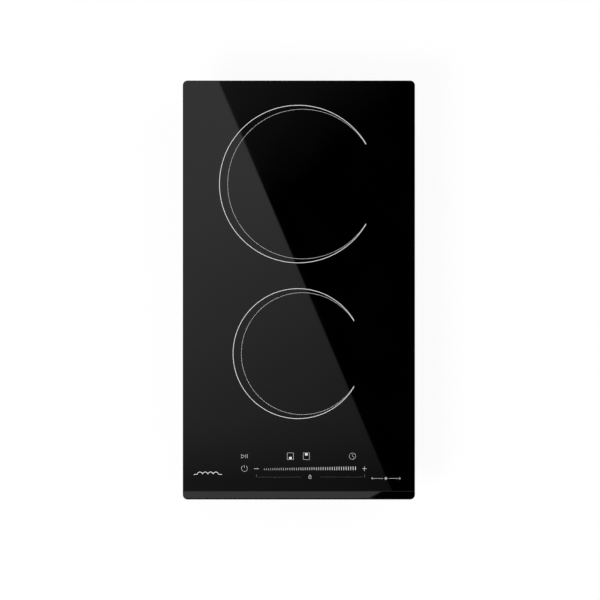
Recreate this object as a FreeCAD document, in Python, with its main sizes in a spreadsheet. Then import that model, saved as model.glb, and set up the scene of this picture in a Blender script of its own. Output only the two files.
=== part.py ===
"""Built-in induction hob with two cooking zones, in millimetres.

+Z is up, +Y points to the rear and +X to the right. The origin is the centre of the plane
that meets the worktop, on the underside of the foam seal.
"""
import FreeCAD, Part
import math
import os
import re

import Sketcher

V = FreeCAD.Vector
DOC = FreeCAD.newDocument("InductionHob")
SHEET = DOC.addObject("Spreadsheet::Sheet", "Sizes")
PIECES = []

# Driving sizes: alias, value, what it is.
SIZES = (
    ("glass_width", 288, "glass plate along X"),
    ("glass_depth", 520, "glass plate along Y"),
    ("glass_thick", 4, "glass plate thickness"),
    ("glass_corner", 6, "corner radius of the glass"),
    ("glass_chamfer", 0.8, "ground chamfer round the top edge"),
    ("bevel_run", 10.5, "front bevel, along Y"),
    ("bevel_drop", 2.2, "front bevel, along Z"),
    ("arris", 0.35, "half the polished arris at the head of the bevel"),
    ("glass_overlap", 10, "glass beyond the worktop cut-out, each side"),
    ("cutout_gap", 4, "tray to cut-out, each long side"),
    ("cutout_gap_end", 5, "tray to cut-out, front and rear"),
    ("seal_thick", 2, "foam seal under the glass"),
    ("seal_width", 8, "foam seal width"),
    ("seal_inset", 1, "foam seal behind the glass edge"),
    ("fit_gap", 0.1, "clearance between fitted sheet parts"),
    ("tray_deep", 50, "worktop plane to tray underside"),
    ("tray_rim", 0.8, "tray rim above the worktop plane"),
    ("tray_sheet", 0.8, "tray sheet thickness"),
    ("tray_corner", 8, "tray corner radius"),
    ("foot_radius", 8, "pressed foot"),
    ("foot_drop", 4, "pressed foot height"),
    ("foot_inset", 14, "pressed foot centre to tray wall"),
    ("bead_thick", 1, "silicone bead between glass and frame"),
    ("bead_width", 7, "silicone bead width"),
    ("frame_sheet", 1.2, "glass frame thickness"),
    ("frame_leg", 10, "glass frame, leg under the glass"),
    ("frame_drop", 13, "glass frame, leg beside the tray wall"),
    ("deck_sheet", 1.2, "coil deck thickness"),
    ("deck_flange", 12, "coil deck side flange"),
    ("deck_front_inset", 70, "front edge of the glass to the deck"),
    ("deck_rear_gap", 4, "deck to the rear tray wall"),
    ("screw_shank", 1.4, "sheet screw shank radius"),
    ("screw_head", 2.8, "sheet screw head radius"),
    ("screw_head_high", 1.6, "sheet screw head height"),
    ("screw_long", 7, "sheet screw length under the head"),
    ("thread_gap", 0.05, "screw to the hole that it holds in"),
    ("pass_gap", 0.3, "screw to the hole that it passes through"),
    ("mica_thick", 0.8, "insulating sheet"),
    ("stack_gap", 0.1, "gap between the layers of a coil unit"),
    ("wire_radius", 1.3, "litz wire radius"),
    ("turn_gap", 0.2, "gap between the turns of a coil"),
    ("carrier_thick", 1.6, "coil carrier base"),
    ("carrier_rim", 2, "coil carrier rim"),
    ("carrier_bore", 11, "coil carrier bore radius"),
    ("ferrite_thick", 4, "ferrite bar thickness"),
    ("ferrite_width", 10, "ferrite bar width"),
    ("channel_wall", 1, "wall beside a ferrite bar"),
    ("coil_plate_thick", 1.2, "aluminium plate of a coil unit"),
    ("coil_plate_bore", 14, "bore of that plate"),
    ("coil_inner", 22, "radius of the first turn"),
    ("spring_gap", 6.7, "coil plate to deck"),
    ("coil_spring_wire", 0.8, "coil support spring wire"),
    ("coil_spring_radius", 3.4, "coil support spring mean radius"),
    ("stud_radius", 2, "guide stud radius"),
    ("stud_high", 8.3, "guide stud above the deck"),
    ("rear_coil_inset", 128.5, "rear edge of the glass to the rear zone centre"),
    ("rear_coil_turns", 23, "turns of the rear coil"),
    ("rear_stud_circle", 60, "guide studs of the rear coil"),
    ("front_coil_inset", 181, "front edge of the glass to the front zone centre"),
    ("front_coil_turns", 16, "turns of the front coil"),
    ("front_stud_circle", 46, "guide studs of the front coil"),
    ("sensor_radius", 6.5, "glass sensor pad radius"),
    ("sensor_high", 5, "glass sensor pad height"),
    ("sensor_stem", 4, "glass sensor stem radius"),
    ("sensor_ring", 5.2, "retaining ring on the stem"),
    ("sensor_travel", 2, "glass sensor travel"),
    ("sensor_spring_radius", 5.1, "sensor spring mean radius"),
    ("sensor_spring_wire", 0.6, "sensor spring wire"),
    ("lead_hole", 7, "hole in the deck for the coil leads"),
    ("board_width", 230, "power board along X"),
    ("board_depth", 200, "power board along Y"),
    ("board_thick", 1.6, "circuit board thickness"),
    ("standoff_high", 6, "power board above the floor"),
    ("standoff_radius", 3, "standoff radius"),
    ("tab_high", 6, "coil lead tab on the power board"),
    ("ribbon_x", 60, "ribbon cable along X"),
    ("sink_x", 52.5, "heat sink centre along X"),
    ("sink_y", 15, "heat sink centre along Y"),
    ("sink_width", 45, "heat sink along X"),
    ("sink_long", 150, "heat sink along Y"),
    ("sink_base", 4, "heat sink base"),
    ("sink_high", 22, "heat sink height"),
    ("fin_thick", 1.5, "heat sink fin"),
    ("fin_count", 9, "number of fins"),
    ("fan_x", 60, "fan centre along X"),
    ("fan_gap", 25, "power board to fan"),
    ("fan_size", 80, "fan frame, square"),
    ("fan_high", 20, "fan frame height"),
    ("fan_bore", 37, "fan frame bore radius"),
    ("fan_hole_inset", 4.25, "fan screw to the frame edge"),
    ("blade_gap", 1, "blade tip to the frame"),
    ("hub_radius", 17, "rotor hub radius"),
    ("hub_wall", 1.3, "rotor hub wall"),
    ("blade_count", 7, "fan blades"),
    ("blade_thick", 1.2, "fan blade thickness"),
    ("shaft_radius", 1.5, "fan shaft radius"),
    ("touch_width", 180, "touch board along X"),
    ("touch_depth", 42, "touch board along Y"),
    ("touch_x", 5, "touch board centre along X"),
    ("touch_inset", 41, "front edge of the glass to the touch board centre"),
    ("touch_gap", 8, "touch board to the glass"),
    ("holder_rim", 2, "touch board holder rim"),
    ("holder_high", 4, "touch board holder height"),
    ("holder_leg", 4, "touch board holder leg radius"),
    ("box_x", -65, "terminal box centre along X"),
    ("box_width", 80, "terminal box along X"),
    ("box_depth", 54, "terminal box along Y"),
    ("box_high", 25, "terminal box height"),
    ("box_wall", 2, "terminal box wall"),
    ("lid_thick", 1.4, "terminal lid"),
    ("lid_gap", 0.3, "tray underside to the terminal lid"),
    ("pin_radius", 1, "hinge pin radius"),
    ("pin_gap", 0.05, "hinge pin running clearance"),
    ("knuckle_radius", 1.6, "hinge knuckle radius"),
    ("pole_count", 5, "poles of the terminal block"),
    ("pole_pitch", 10, "width of a pole"),
    ("gland_bore", 5.2, "cable gland bore radius"),
    ("gland_radius", 8.5, "cable gland body radius"),
    ("gland_flange", 10.5, "cable gland flange radius"),
    ("gland_high", 11, "cable gland centre above the floor"),
    ("clip_y", 140, "side clip from the centre"),
    ("clip_width", 18, "side clip along Y"),
    ("clip_thick", 0.8, "side clip thickness"),
    ("clip_out", 7.4, "side clip crest beyond the tray wall"),
    ("clip_pivot_out", 3, "side clip pin beyond the tray wall"),
)

# Places and sizes that follow from the driving ones.
DERIVED = {
    "tray_width": "glass_width - 2 * glass_overlap - 2 * cutout_gap",
    "tray_depth": "glass_depth - 2 * glass_overlap - 2 * cutout_gap_end",
    "tray_in_x": "tray_width / 2 - tray_sheet",
    "tray_in_y": "tray_depth / 2 - tray_sheet",
    "tray_high": "tray_deep + tray_rim",
    "floor_top": "tray_sheet - tray_deep",
    "frame_out_x": "tray_in_x - fit_gap",
    "frame_out_y": "tray_in_y - fit_gap",
    "frame_top": "seal_thick - bead_thick",
    "mica_low": "seal_thick - mica_thick",
    "wire_pitch": "2 * wire_radius + turn_gap",
    "wire_mid": "mica_low - stack_gap - wire_radius",
    "carrier_top": "wire_mid - wire_radius - stack_gap",
    "carrier_low": "carrier_top - carrier_thick",
    "ferrite_low": "carrier_low - stack_gap - ferrite_thick",
    "coil_plate_low": "ferrite_low - stack_gap - coil_plate_thick",
    "deck_top": "coil_plate_low - spring_gap",
    "deck_low": "deck_top - deck_sheet",
    "deck_front": "deck_front_inset - glass_depth / 2",
    "deck_rear": "tray_in_y - deck_rear_gap",
    "rear_coil_y": "glass_depth / 2 - rear_coil_inset",
    "front_coil_y": "front_coil_inset - glass_depth / 2",
    "rear_coil_outer": "coil_inner + wire_pitch * rear_coil_turns",
    "front_coil_outer": "coil_inner + wire_pitch * front_coil_turns",
    "rear_carrier": "rear_coil_outer + wire_radius + 0.4 + carrier_rim",
    "front_carrier": "front_coil_outer + wire_radius + 0.4 + carrier_rim",
    "board_low": "floor_top + standoff_high",
    "board_top": "board_low + board_thick",
    "fan_y": "board_depth / 2 + fan_gap + fan_size / 2",
    "touch_y": "touch_inset - glass_depth / 2",
    "touch_top": "seal_thick - touch_gap",
    "touch_low": "touch_top - board_thick",
    "holder_low": "touch_low - holder_high",
    "box_rear": "tray_in_y - fit_gap",
    "box_y": "box_rear - box_depth / 2",
    "box_front": "box_rear - box_depth",
    "box_top": "floor_top + box_high",
    "hinge_y": "box_front + 1",
    "hinge_z": "-tray_deep - lid_gap - knuckle_radius",
    "gland_z": "floor_top + gland_high",
    "ribbon_end": "10 - board_depth / 2",
    "pivot_z": "12 - tray_deep",
    "rear_tab_y": "board_depth / 2 - 46.5",
    "front_tab_y": "81 - board_depth / 2",
    "screw_hole": "screw_shank + thread_gap",
    "screw_pass": "screw_shank + pass_gap",
}
ALIASES = {alias for alias, value, note in SIZES}


def fill_sheet():
    for row, (alias, value, note) in enumerate(SIZES, start=1):
        SHEET.set("A%d" % row, note)
        SHEET.set("B%d" % row, str(value))
        SHEET.setAlias("B%d" % row, alias)
    DOC.recompute()


def spelled(text):
    """Write an expression with every derived name opened and every alias as a sheet cell."""
    def one(match):
        word = match.group(0)
        if word in DERIVED:
            return "(" + spelled(DERIVED[word]) + ")"
        return "Sizes." + word if word in ALIASES else word
    return re.sub(r"[a-z][a-z_]*", one, str(text))


def val(text):
    return float(SHEET.evalExpression(spelled(text)))


def bind(obj, **settings):
    for name, text in settings.items():
        obj.setExpression(name.replace("_dot_", "."), spelled(text))


def place(obj, x="0", y="0", z="0"):
    for axis, text in (("x", x), ("y", y), ("z", z)):
        obj.setExpression("Placement.Base." + axis, spelled(text))


def piece(label, obj):
    obj.Label = label
    PIECES.append(obj)
    return obj


# ---- bodies, sketches and features

def body(label, x="0", y="0", z="0", turn=0):
    made = DOC.addObject("PartDesign::Body", "Body")
    made.AllowCompound = True
    made.Placement = FreeCAD.Placement(V(), FreeCAD.Rotation(V(0, 0, 1), turn))
    place(made, x, y, z)
    return piece(label, made)


def sketch(owner, role="XY_Plane", offset="0", x="0", y="0"):
    made = owner.newObject("Sketcher::SketchObject", "Sketch")
    plane = [item for item in owner.Origin.OriginFeatures if item.Role == role][0]
    made.AttachmentSupport = [(plane, "")]
    made.MapMode = "FlatFace"
    for axis, text in (("x", x), ("y", y), ("z", offset)):
        made.setExpression("AttachmentOffset.Base." + axis, spelled(text))
    return made


def hold(sk, kind, value, *where):
    """Add one driving constraint and bind it to an expression."""
    index = sk.addConstraint(Sketcher.Constraint(kind, *where, val(value)))
    sk.setExpression("Constraints[%d]" % index, spelled(value))


def circle(sk, x, y, radius):
    curve = Part.Circle(V(val(x), val(y), 0), V(0, 0, 1), val(radius))
    index = sk.addGeometry(curve, False)
    hold(sk, "Radius", radius, index)
    hold(sk, "DistanceX", x, -1, 1, index, 3)
    hold(sk, "DistanceY", y, -1, 1, index, 3)


def polygon(sk, points):
    corners = [V(val(x), val(y), 0) for x, y in points]
    count = len(corners)
    first = sk.GeometryCount
    for i in range(count):
        sk.addGeometry(Part.LineSegment(corners[i], corners[(i + 1) % count]), False)
    for i in range(count):
        nearest = first + (i + 1) % count
        sk.addConstraint(Sketcher.Constraint("Coincident", first + i, 2, nearest, 1))
    for i, (x, y) in enumerate(points):
        hold(sk, "DistanceX", x, -1, 1, first + i, 1)
        hold(sk, "DistanceY", y, -1, 1, first + i, 1)


def rectangle(sk, x, y, width, depth):
    left, right = "(%s) - (%s) / 2" % (x, width), "(%s) + (%s) / 2" % (x, width)
    front, rear = "(%s) - (%s) / 2" % (y, depth), "(%s) + (%s) / 2" % (y, depth)
    polygon(sk, [(left, front), (right, front), (right, rear), (left, rear)])


def rounded(sk, x, y, width, depth, radius):
    """A rectangle with four equal corner radii, about its centre."""
    cx, cy, w, d, r = val(x), val(y), val(width) / 2, val(depth) / 2, val(radius)
    lines = (((r - w, -d), (w - r, -d)), ((w, r - d), (w, d - r)),
             ((w - r, d), (r - w, d)), ((-w, d - r), (-w, r - d)))
    arcs = ((w - r, r - d, -0.5), (w - r, d - r, 0), (r - w, d - r, 0.5), (r - w, r - d, 1))
    first = sk.GeometryCount
    for (start, end), (ax, ay, turn) in zip(lines, arcs):
        sk.addGeometry(Part.LineSegment(V(cx + start[0], cy + start[1], 0),
                                        V(cx + end[0], cy + end[1], 0)), False)
        bend = Part.Circle(V(cx + ax, cy + ay, 0), V(0, 0, 1), r)
        sk.addGeometry(Part.ArcOfCircle(bend, turn * math.pi, (turn + 0.5) * math.pi), False)
    for i in range(4):
        line, arc, following = first + 2 * i, first + 2 * i + 1, first + (2 * i + 2) % 8
        sk.addConstraint(Sketcher.Constraint("Tangent", line, 2, arc, 1))
        sk.addConstraint(Sketcher.Constraint("Tangent", arc, 2, following, 1))
        sk.addConstraint(Sketcher.Constraint("Vertical" if i % 2 else "Horizontal", line))
        if i:
            sk.addConstraint(Sketcher.Constraint("Equal", first + 1, arc))
    hold(sk, "Radius", radius, first + 1)
    hold(sk, "DistanceX", width, first + 6, 1, first + 2, 1)
    hold(sk, "DistanceY", depth, first, 1, first + 4, 1)
    hold(sk, "DistanceX", "(%s) + (%s) / 2" % (x, width), -1, 1, first + 2, 1)
    hold(sk, "DistanceY", "(%s) - (%s) / 2" % (y, depth), -1, 1, first, 1)


def pad(owner, sk, length, both=False):
    made = owner.newObject("PartDesign::Pad", "Pad")
    made.Profile = sk
    made.setExpression("Length", spelled(length))
    if both:
        made.SideType = "Symmetric"
    return made


def pocket(owner, sk, depth):
    made = owner.newObject("PartDesign::Pocket", "Pocket")
    made.Profile = sk
    made.setExpression("Length", spelled(depth))
    return made


def drill(owner, sk):
    """Cut a sketch right through the body, both ways."""
    made = owner.newObject("PartDesign::Pocket", "Drill")
    made.Profile = sk
    made.Type = "ThroughAll"
    made.SideType = "Symmetric"
    return made


def polar(owner, feature, sk, count):
    DOC.recompute()
    made = owner.newObject("PartDesign::PolarPattern", "Polar")
    made.Originals = [feature]
    made.Axis = (sk, ["N_Axis"])
    made.Angle = 360
    made.setExpression("Occurrences", spelled(count))
    owner.Tip = made
    return made


def linear(owner, feature, sk, axis, length, count):
    DOC.recompute()
    made = owner.newObject("PartDesign::LinearPattern", "Linear")
    made.Originals = [feature]
    made.Direction = (sk, [axis])
    made.setExpression("Length", spelled(length))
    made.setExpression("Occurrences", spelled(count))
    owner.Tip = made
    return made


def revolve(owner, sk):
    made = owner.newObject("PartDesign::Revolution", "Revolution")
    made.Profile = sk
    made.ReferenceAxis = (sk, ["V_Axis"])
    made.Angle = 360
    return made


# ---- primitives

TURNS = {"x": (V(0, 1, 0), 90), "-x": (V(0, 1, 0), -90), "y": (V(1, 0, 0), -90),
         "-y": (V(1, 0, 0), 90), "z": (V(0, 0, 1), 0), "-z": (V(1, 0, 0), 180)}


def rod(x, y, z, radius, height, axis="z"):
    made = DOC.addObject("Part::Cylinder", "Rod")
    made.Placement = FreeCAD.Placement(V(), FreeCAD.Rotation(*TURNS[axis]))
    place(made, x, y, z)
    bind(made, Radius=radius, Height=height)
    return made


def block(x, y, z, width, depth, height):
    """A box centred on x and y that stands on z."""
    made = DOC.addObject("Part::Box", "Block")
    place(made, "(%s) - (%s) / 2" % (x, width), "(%s) - (%s) / 2" % (y, depth), z)
    bind(made, Length=width, Width=depth, Height=height)
    return made


def joined(parts):
    made = DOC.addObject("Part::MultiFuse", "Joined")
    made.Shapes = parts
    return made


def less(base, tool):
    made = DOC.addObject("Part::Cut", "Less")
    made.Base = base
    made.Tool = tool
    return made


def grouped(label, parts):
    made = DOC.addObject("Part::Compound", "Group")
    made.Links = parts
    return piece(label, made)


def shaped(label, shape, x="0", y="0", z="0"):
    made = DOC.addObject("Part::Feature", "Shaped")
    made.Shape = shape
    place(made, x, y, z)
    return piece(label, made)


def screw(x, y, z, axis, long="screw_long"):
    """A pan head screw whose head sits at the given point; the axis points to its tip."""
    step = {"x": (1, 0, 0), "y": (0, 1, 0), "z": (0, 0, 1)}[axis[-1]]
    sign = -1 if axis[0] == "-" else 1
    back = ["(%s) - %d * screw_head_high" % (at, sign * way) if way else at
            for at, way in zip((x, y, z), step)]
    head = rod(back[0], back[1], back[2], "screw_head", "screw_head_high", axis)
    shank = rod(x, y, z, "screw_shank", long, axis)
    return joined([head, shank])


def spring(x, y, z, radius, wire, height, turns):
    """A compression spring that stands on z: tilted half turns that climb evenly to z + height."""
    mean, thick, tall = val(radius), val(wire), val(height)
    steps = int(round(2 * float(turns)))
    rise = (tall - 2 * thick - 0.1) / steps
    reach = math.hypot(mean, rise / 2)
    edges = []
    for i in range(steps):
        way, low = 1 - 2 * (i % 2), i * rise
        edges.append(Part.Arc(V(way * mean, 0, low), V(0, way * reach, low + rise / 2),
                              V(-way * mean, 0, low + rise)).toShape())
    section = Part.Wire([Part.Circle(V(mean, 0, 0), V(0, 1, 0), thick).toShape()])
    coil = DOC.addObject("Part::Feature", "Spring")
    coil.Shape = Part.Wire(edges).makePipeShell([section], True, True)
    place(coil, x, y, "(%s) + (%s) + 0.05" % (z, wire))
    return coil


def bent_path(points, bend):
    """Straight runs through the points, joined by tangent arcs of one radius."""
    edges = []
    start = points[0]
    for here, corner, there in zip(points, points[1:], points[2:]):
        back, ahead = (here - corner).normalize(), (there - corner).normalize()
        half = back.getAngle(ahead) / 2
        reach = bend / math.tan(half)
        first, last = corner + back * reach, corner + ahead * reach
        centre_way = (back + ahead).normalize()
        middle = corner + centre_way * (bend / math.sin(half) - bend)
        edges.append(Part.LineSegment(start, first).toShape())
        edges.append(Part.Arc(first, middle, last).toShape())
        start = last
    edges.append(Part.LineSegment(start, points[-1]).toShape())
    return Part.Wire(edges)


def tube(points, radius, bend):
    path = bent_path(points, bend)
    way = (points[1] - points[0]).normalize()
    section = Part.Wire([Part.Circle(points[0], way, radius).toShape()])
    solid = path.makePipeShell([section], True, False)
    wanted = path.Length * math.pi * radius ** 2
    if abs(solid.Volume / wanted - 1) > 0.01:
        raise ValueError("a lead's volume doesn't match its section and length")
    return solid


# ---- glass, seal, frame and tray

def glass_top():
    glass = body("glass_top", z="seal_thick")
    outline = sketch(glass)
    rounded(outline, "0", "0", "glass_width", "glass_depth", "glass_corner")
    plate = pad(glass, outline, "glass_thick")
    DOC.recompute()
    rim = ["Edge%d" % (i + 1) for i, edge in enumerate(plate.Shape.Edges)
           if min(corner.Z for corner in edge.Vertexes) > val("glass_thick") - 0.01]
    chamfer = glass.newObject("PartDesign::Chamfer", "Chamfer")
    chamfer.Base = (plate, rim)
    chamfer.setExpression("Size", spelled("glass_chamfer"))
    front = "-glass_depth / 2"
    bevel = sketch(glass, "YZ_Plane")
    polygon(bevel, [
        (front + " + bevel_run + arris", "glass_thick"),
        (front + " + bevel_run - arris", "glass_thick - arris * bevel_drop / bevel_run"),
        (front, "glass_thick - bevel_drop"),
        (front + " - 1", "glass_thick - bevel_drop - bevel_drop / bevel_run"),
        (front + " - 1", "glass_thick + 1"),
        (front + " + bevel_run + arris", "glass_thick + 1")])
    drill(glass, bevel)


def ring_of_sheet(label, low, width, depth, across, corner, height):
    ring = body(label, z=low)
    outline = sketch(ring)
    rounded(outline, "0", "0", width, depth, corner)
    inside = "(%s) - 2 * (%s)"
    rounded(outline, "0", "0", inside % (width, across), inside % (depth, across), "1.5")
    pad(ring, outline, height)
    return ring


def seal_and_bead():
    ring_of_sheet("worktop_gasket", "0", "glass_width - 2 * seal_inset",
                  "glass_depth - 2 * seal_inset", "seal_width", "glass_corner - seal_inset",
                  "seal_thick")
    ring_of_sheet("glass_adhesive", "frame_top", "2 * frame_out_x - 3", "2 * frame_out_y - 3",
                  "bead_width", "5", "bead_thick")


FRAME_SIDE_Y = ("-glass_depth / 2 + 80", "0", "glass_depth / 2 - 80")
FRAME_END_X = ("34 - glass_width / 2", "glass_width / 2 - 34")
FRAME_SCREW_Z = "-6"
DECK_SIDE_Y = ("deck_front + 40", "10", "deck_rear - 40")
DECK_SCREW_Z = "deck_low - deck_flange / 2"


def glass_frame():
    frame = body("glass_frame")
    wall = sketch(frame, offset="frame_top - frame_drop")
    rounded(wall, "0", "0", "2 * frame_out_x", "2 * frame_out_y", "tray_corner - tray_sheet")
    rounded(wall, "0", "0", "2 * frame_out_x - 2 * frame_sheet",
            "2 * frame_out_y - 2 * frame_sheet", "tray_corner - tray_sheet - frame_sheet")
    pad(frame, wall, "frame_drop")
    leg = sketch(frame, offset="frame_top - frame_sheet")
    rounded(leg, "0", "0", "2 * frame_out_x", "2 * frame_out_y", "tray_corner - tray_sheet")
    rounded(leg, "0", "0", "2 * frame_out_x - 2 * frame_leg", "2 * frame_out_y - 2 * frame_leg",
            "2")
    pad(frame, leg, "frame_sheet")
    sides = sketch(frame, "YZ_Plane")
    for y in FRAME_SIDE_Y:
        circle(sides, y, FRAME_SCREW_Z, "screw_hole")
    drill(frame, sides)
    ends = sketch(frame, "XZ_Plane")
    for x in FRAME_END_X:
        circle(ends, x, FRAME_SCREW_Z, "screw_hole")
    drill(frame, ends)


def frame_screws():
    made = []
    for y in FRAME_SIDE_Y:
        made.append(screw("tray_width / 2", y, FRAME_SCREW_Z, "-x", "4"))
        made.append(screw("-tray_width / 2", y, FRAME_SCREW_Z, "x", "4"))
    for x in FRAME_END_X:
        made.append(screw(x, "tray_depth / 2", FRAME_SCREW_Z, "-y", "4"))
        made.append(screw(x, "-tray_depth / 2", FRAME_SCREW_Z, "y", "4"))
    grouped("frame_screws", made)


def deck_screws():
    made = []
    for y in DECK_SIDE_Y:
        made.append(screw("tray_width / 2", y, DECK_SCREW_Z, "-x", "4"))
        made.append(screw("-tray_width / 2", y, DECK_SCREW_Z, "x", "4"))
    grouped("deck_screws", made)


FOOT_X, FOOT_Y = "tray_width / 2 - foot_inset", "tray_depth / 2 - foot_inset"
FAN_REACH = "fan_size / 2 - fan_hole_inset"
FAN_SCREWS = [("fan_x %s (%s)" % (a, FAN_REACH), "fan_y %s (%s)" % (b, FAN_REACH))
              for a in "+-" for b in "+-"]
LEG_X, LEG_Y = "touch_width / 2 - 6", "touch_depth / 2 - 4"
HOLDER_SCREWS = [("touch_x %s (%s)" % (a, LEG_X), "touch_y %s (%s)" % (b, LEG_Y))
                 for a in "+-" for b in "+-"]
BOX_SCREWS = [("box_x %s (box_width / 2 + 4)" % a, "box_front + 10") for a in "+-"]
FLOOR_SCREWS = FAN_SCREWS + HOLDER_SCREWS + BOX_SCREWS
STANDOFFS = [("%s (board_width / 2 - 7)" % a, "%s(board_depth / 2 - 7)" % b)
             for a in ("", "-1 *") for b in ("", "0 *", "-1 *")]
KNUCKLE_X = ("box_x - 21", "box_x + 21")
CLIP_SPOTS = [(side, way) for side in (1, -1) for way in (1, -1)]
RIVET_Y, RIVET_Z = "clip_width / 2 - 3", "pivot_z - 7"


def bottom_tray():
    tray = body("bottom_tray")
    outline = sketch(tray, offset="-tray_deep")
    rounded(outline, "0", "0", "tray_width", "tray_depth", "tray_corner")
    pad(tray, outline, "tray_high")
    inside = sketch(tray, offset="tray_rim")
    rounded(inside, "0", "0", "2 * tray_in_x", "2 * tray_in_y", "tray_corner - tray_sheet")
    pocket(tray, inside, "tray_high - tray_sheet")
    feet = sketch(tray, offset="-tray_deep - foot_drop")
    dishes = sketch(tray, offset="floor_top")
    for a in ("", "-1 * "):
        for b in ("", "-1 * "):
            circle(feet, a + "(%s)" % FOOT_X, b + "(%s)" % FOOT_Y, "foot_radius")
            circle(dishes, a + "(%s)" % FOOT_X, b + "(%s)" % FOOT_Y, "foot_radius - tray_sheet")
    pad(tray, feet, "foot_drop")
    pocket(tray, dishes, "foot_drop")
    floor_openings(tray)
    wall_openings(tray)


def floor_openings(tray):
    holes = sketch(tray, offset="floor_top")
    for x, y in FLOOR_SCREWS:
        circle(holes, x, y, "screw_pass")
    rectangle(holes, "box_x", "box_y", "box_width - 8", "box_depth - 8")
    for x in KNUCKLE_X:
        rectangle(holes, x, "hinge_y", "5", "3.4")
    pocket(tray, holes, "tray_sheet + 0.5")
    for count, radius, wide in ((10, 17, 8), (16, 28, 8)):
        grille = sketch(tray, offset="floor_top", x="fan_x", y="fan_y")
        rounded(grille, str(radius), "0", str(wide), "4", "1.9")
        slot = pocket(tray, grille, "tray_sheet + 0.5")
        polar(tray, slot, grille, str(count))
    vents = sketch(tray, offset="floor_top")
    rounded(vents, "sink_x - 20", "-board_depth / 2 - 24", "4", "26", "1.9")
    slot = pocket(tray, vents, "tray_sheet + 0.5")
    linear(tray, slot, vents, "H_Axis", "48", "7")


def wall_openings(tray):
    sides = sketch(tray, "YZ_Plane")
    for y in FRAME_SIDE_Y:
        circle(sides, y, FRAME_SCREW_Z, "screw_pass")
    for y in DECK_SIDE_Y:
        circle(sides, y, DECK_SCREW_Z, "screw_pass")
    for way in ("clip_y", "-clip_y"):
        for step in ("+", "-"):
            circle(sides, "%s %s (%s)" % (way, step, RIVET_Y), RIVET_Z, "1.65")
    drill(tray, sides)
    ends = sketch(tray, "XZ_Plane")
    for x in FRAME_END_X:
        circle(ends, x, FRAME_SCREW_Z, "screw_pass")
    drill(tray, ends)
    outlet = sketch(tray, "XZ_Plane", offset="tray_depth / 2 - 3", x="15 - tray_width / 2")
    rounded(outlet, "0", "-27", "3.4", "26", "1.6")
    slot = pad_cut(tray, outlet, "5")
    linear(tray, slot, outlet, "H_Axis", "tray_width - 30", "24")
    gland = sketch(tray, "XZ_Plane", offset="-tray_depth / 2 - 2")
    circle(gland, "box_x", "gland_z", "gland_radius + fit_gap")
    pad_cut(tray, gland, "5")


def pad_cut(owner, sk, length):
    """Cut along the sketch's own normal, away from the sketch plane."""
    made = pocket(owner, sk, length)
    made.Reversed = True
    return made


def coil_deck():
    deck = body("coil_deck")
    plate = sketch(deck, offset="deck_low")
    middle = "(deck_front + deck_rear) / 2"
    rounded(plate, "0", middle, "2 * frame_out_x", "deck_rear - deck_front", "3")
    for zone, angle in ZONES:
        circle(plate, "0", zone + "_coil_y", "sensor_stem + 0.4")
        for x, y in stud_spots(zone):
            circle(plate, x, y, "stud_radius + thread_gap")
        x, y = around(zone, zone + "_coil_outer - 2", angle)
        circle(plate, x, y, "lead_hole")
    for side in ("", "-"):
        rounded(plate, side + "98", "34", "30", "14", "5")
        rounded(plate, side + "98", "front_coil_y - 60", "30", "14", "5")
    pad(deck, plate, "deck_sheet")
    flanges = sketch(deck, offset="deck_low - deck_flange")
    for side in ("", "-1 * "):
        rectangle(flanges, side + "(frame_out_x - deck_sheet / 2)", middle, "deck_sheet",
                  "deck_rear - deck_front - 8")
    pad(deck, flanges, "deck_flange + deck_sheet / 2")
    holes = sketch(deck, "YZ_Plane")
    for y in DECK_SIDE_Y:
        circle(holes, y, DECK_SCREW_Z, "screw_hole")
    drill(deck, holes)


# ---- coil units

ZONES = (("rear", 247.5), ("front", 112.5))
STUD_ANGLES = (22.5, 157.5, 292.5)


def around(zone, radius, angle, aside=0):
    """A point at a polar place about a zone's centre, moved sideways by a little."""
    c, s = math.cos(math.radians(angle)), math.sin(math.radians(angle))
    x = "(%s) * %.6f - %.6f" % (radius, c, aside * s)
    y = "%s_coil_y + (%s) * %.6f + %.6f" % (zone, radius, s, aside * c)
    return x, y


def stud_spots(zone):
    return [around(zone, zone + "_stud_circle", angle) for angle in STUD_ANGLES]


def guide_studs():
    made = []
    for zone, angle in ZONES:
        for x, y in stud_spots(zone):
            shank = rod(x, y, "deck_low", "stud_radius", "stud_high + deck_sheet")
            head = rod(x, y, "deck_low - 1", "stud_radius + 1.4", "1")
            made.append(joined([shank, head]))
    grouped("guide_studs", made)


def mica(zone):
    sheet = body("mica_" + zone, y=zone + "_coil_y", z="mica_low")
    outline = sketch(sheet)
    circle(outline, "0", "0", zone + "_carrier + 1")
    circle(outline, "0", "0", "sensor_radius + 2.5")
    pad(sheet, outline, "mica_thick")


def winding(zone, angle):
    """A flat spiral of half turns about two centres half a pitch apart."""
    half_pitch = val("wire_pitch") / 2
    first, wire = val("coil_inner"), val("wire_radius")
    edges = []
    for i in range(2 * int(val(zone + "_coil_turns"))):
        centre = V(half_pitch * (i % 2), 0, 0)
        start = math.pi * (i % 2)
        bow = Part.Circle(centre, V(0, 0, 1), first + i * half_pitch)
        edges.append(Part.ArcOfCircle(bow, start, start + math.pi).toShape())
    section = Part.Wire([Part.Circle(V(first, 0, 0), V(0, 1, 0), wire).toShape()])
    coil = Part.Wire(edges).makePipeShell([section], True, True)
    coil.rotate(V(), V(0, 0, 1), angle)
    shaped("winding_" + zone, coil, y=zone + "_coil_y", z="wire_mid")


def arm_polygon(sk, near, far, half):
    polygon(sk, [(near, "-(%s)" % half), (far, "-(%s)" % half), (far, half), (near, half)])


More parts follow.
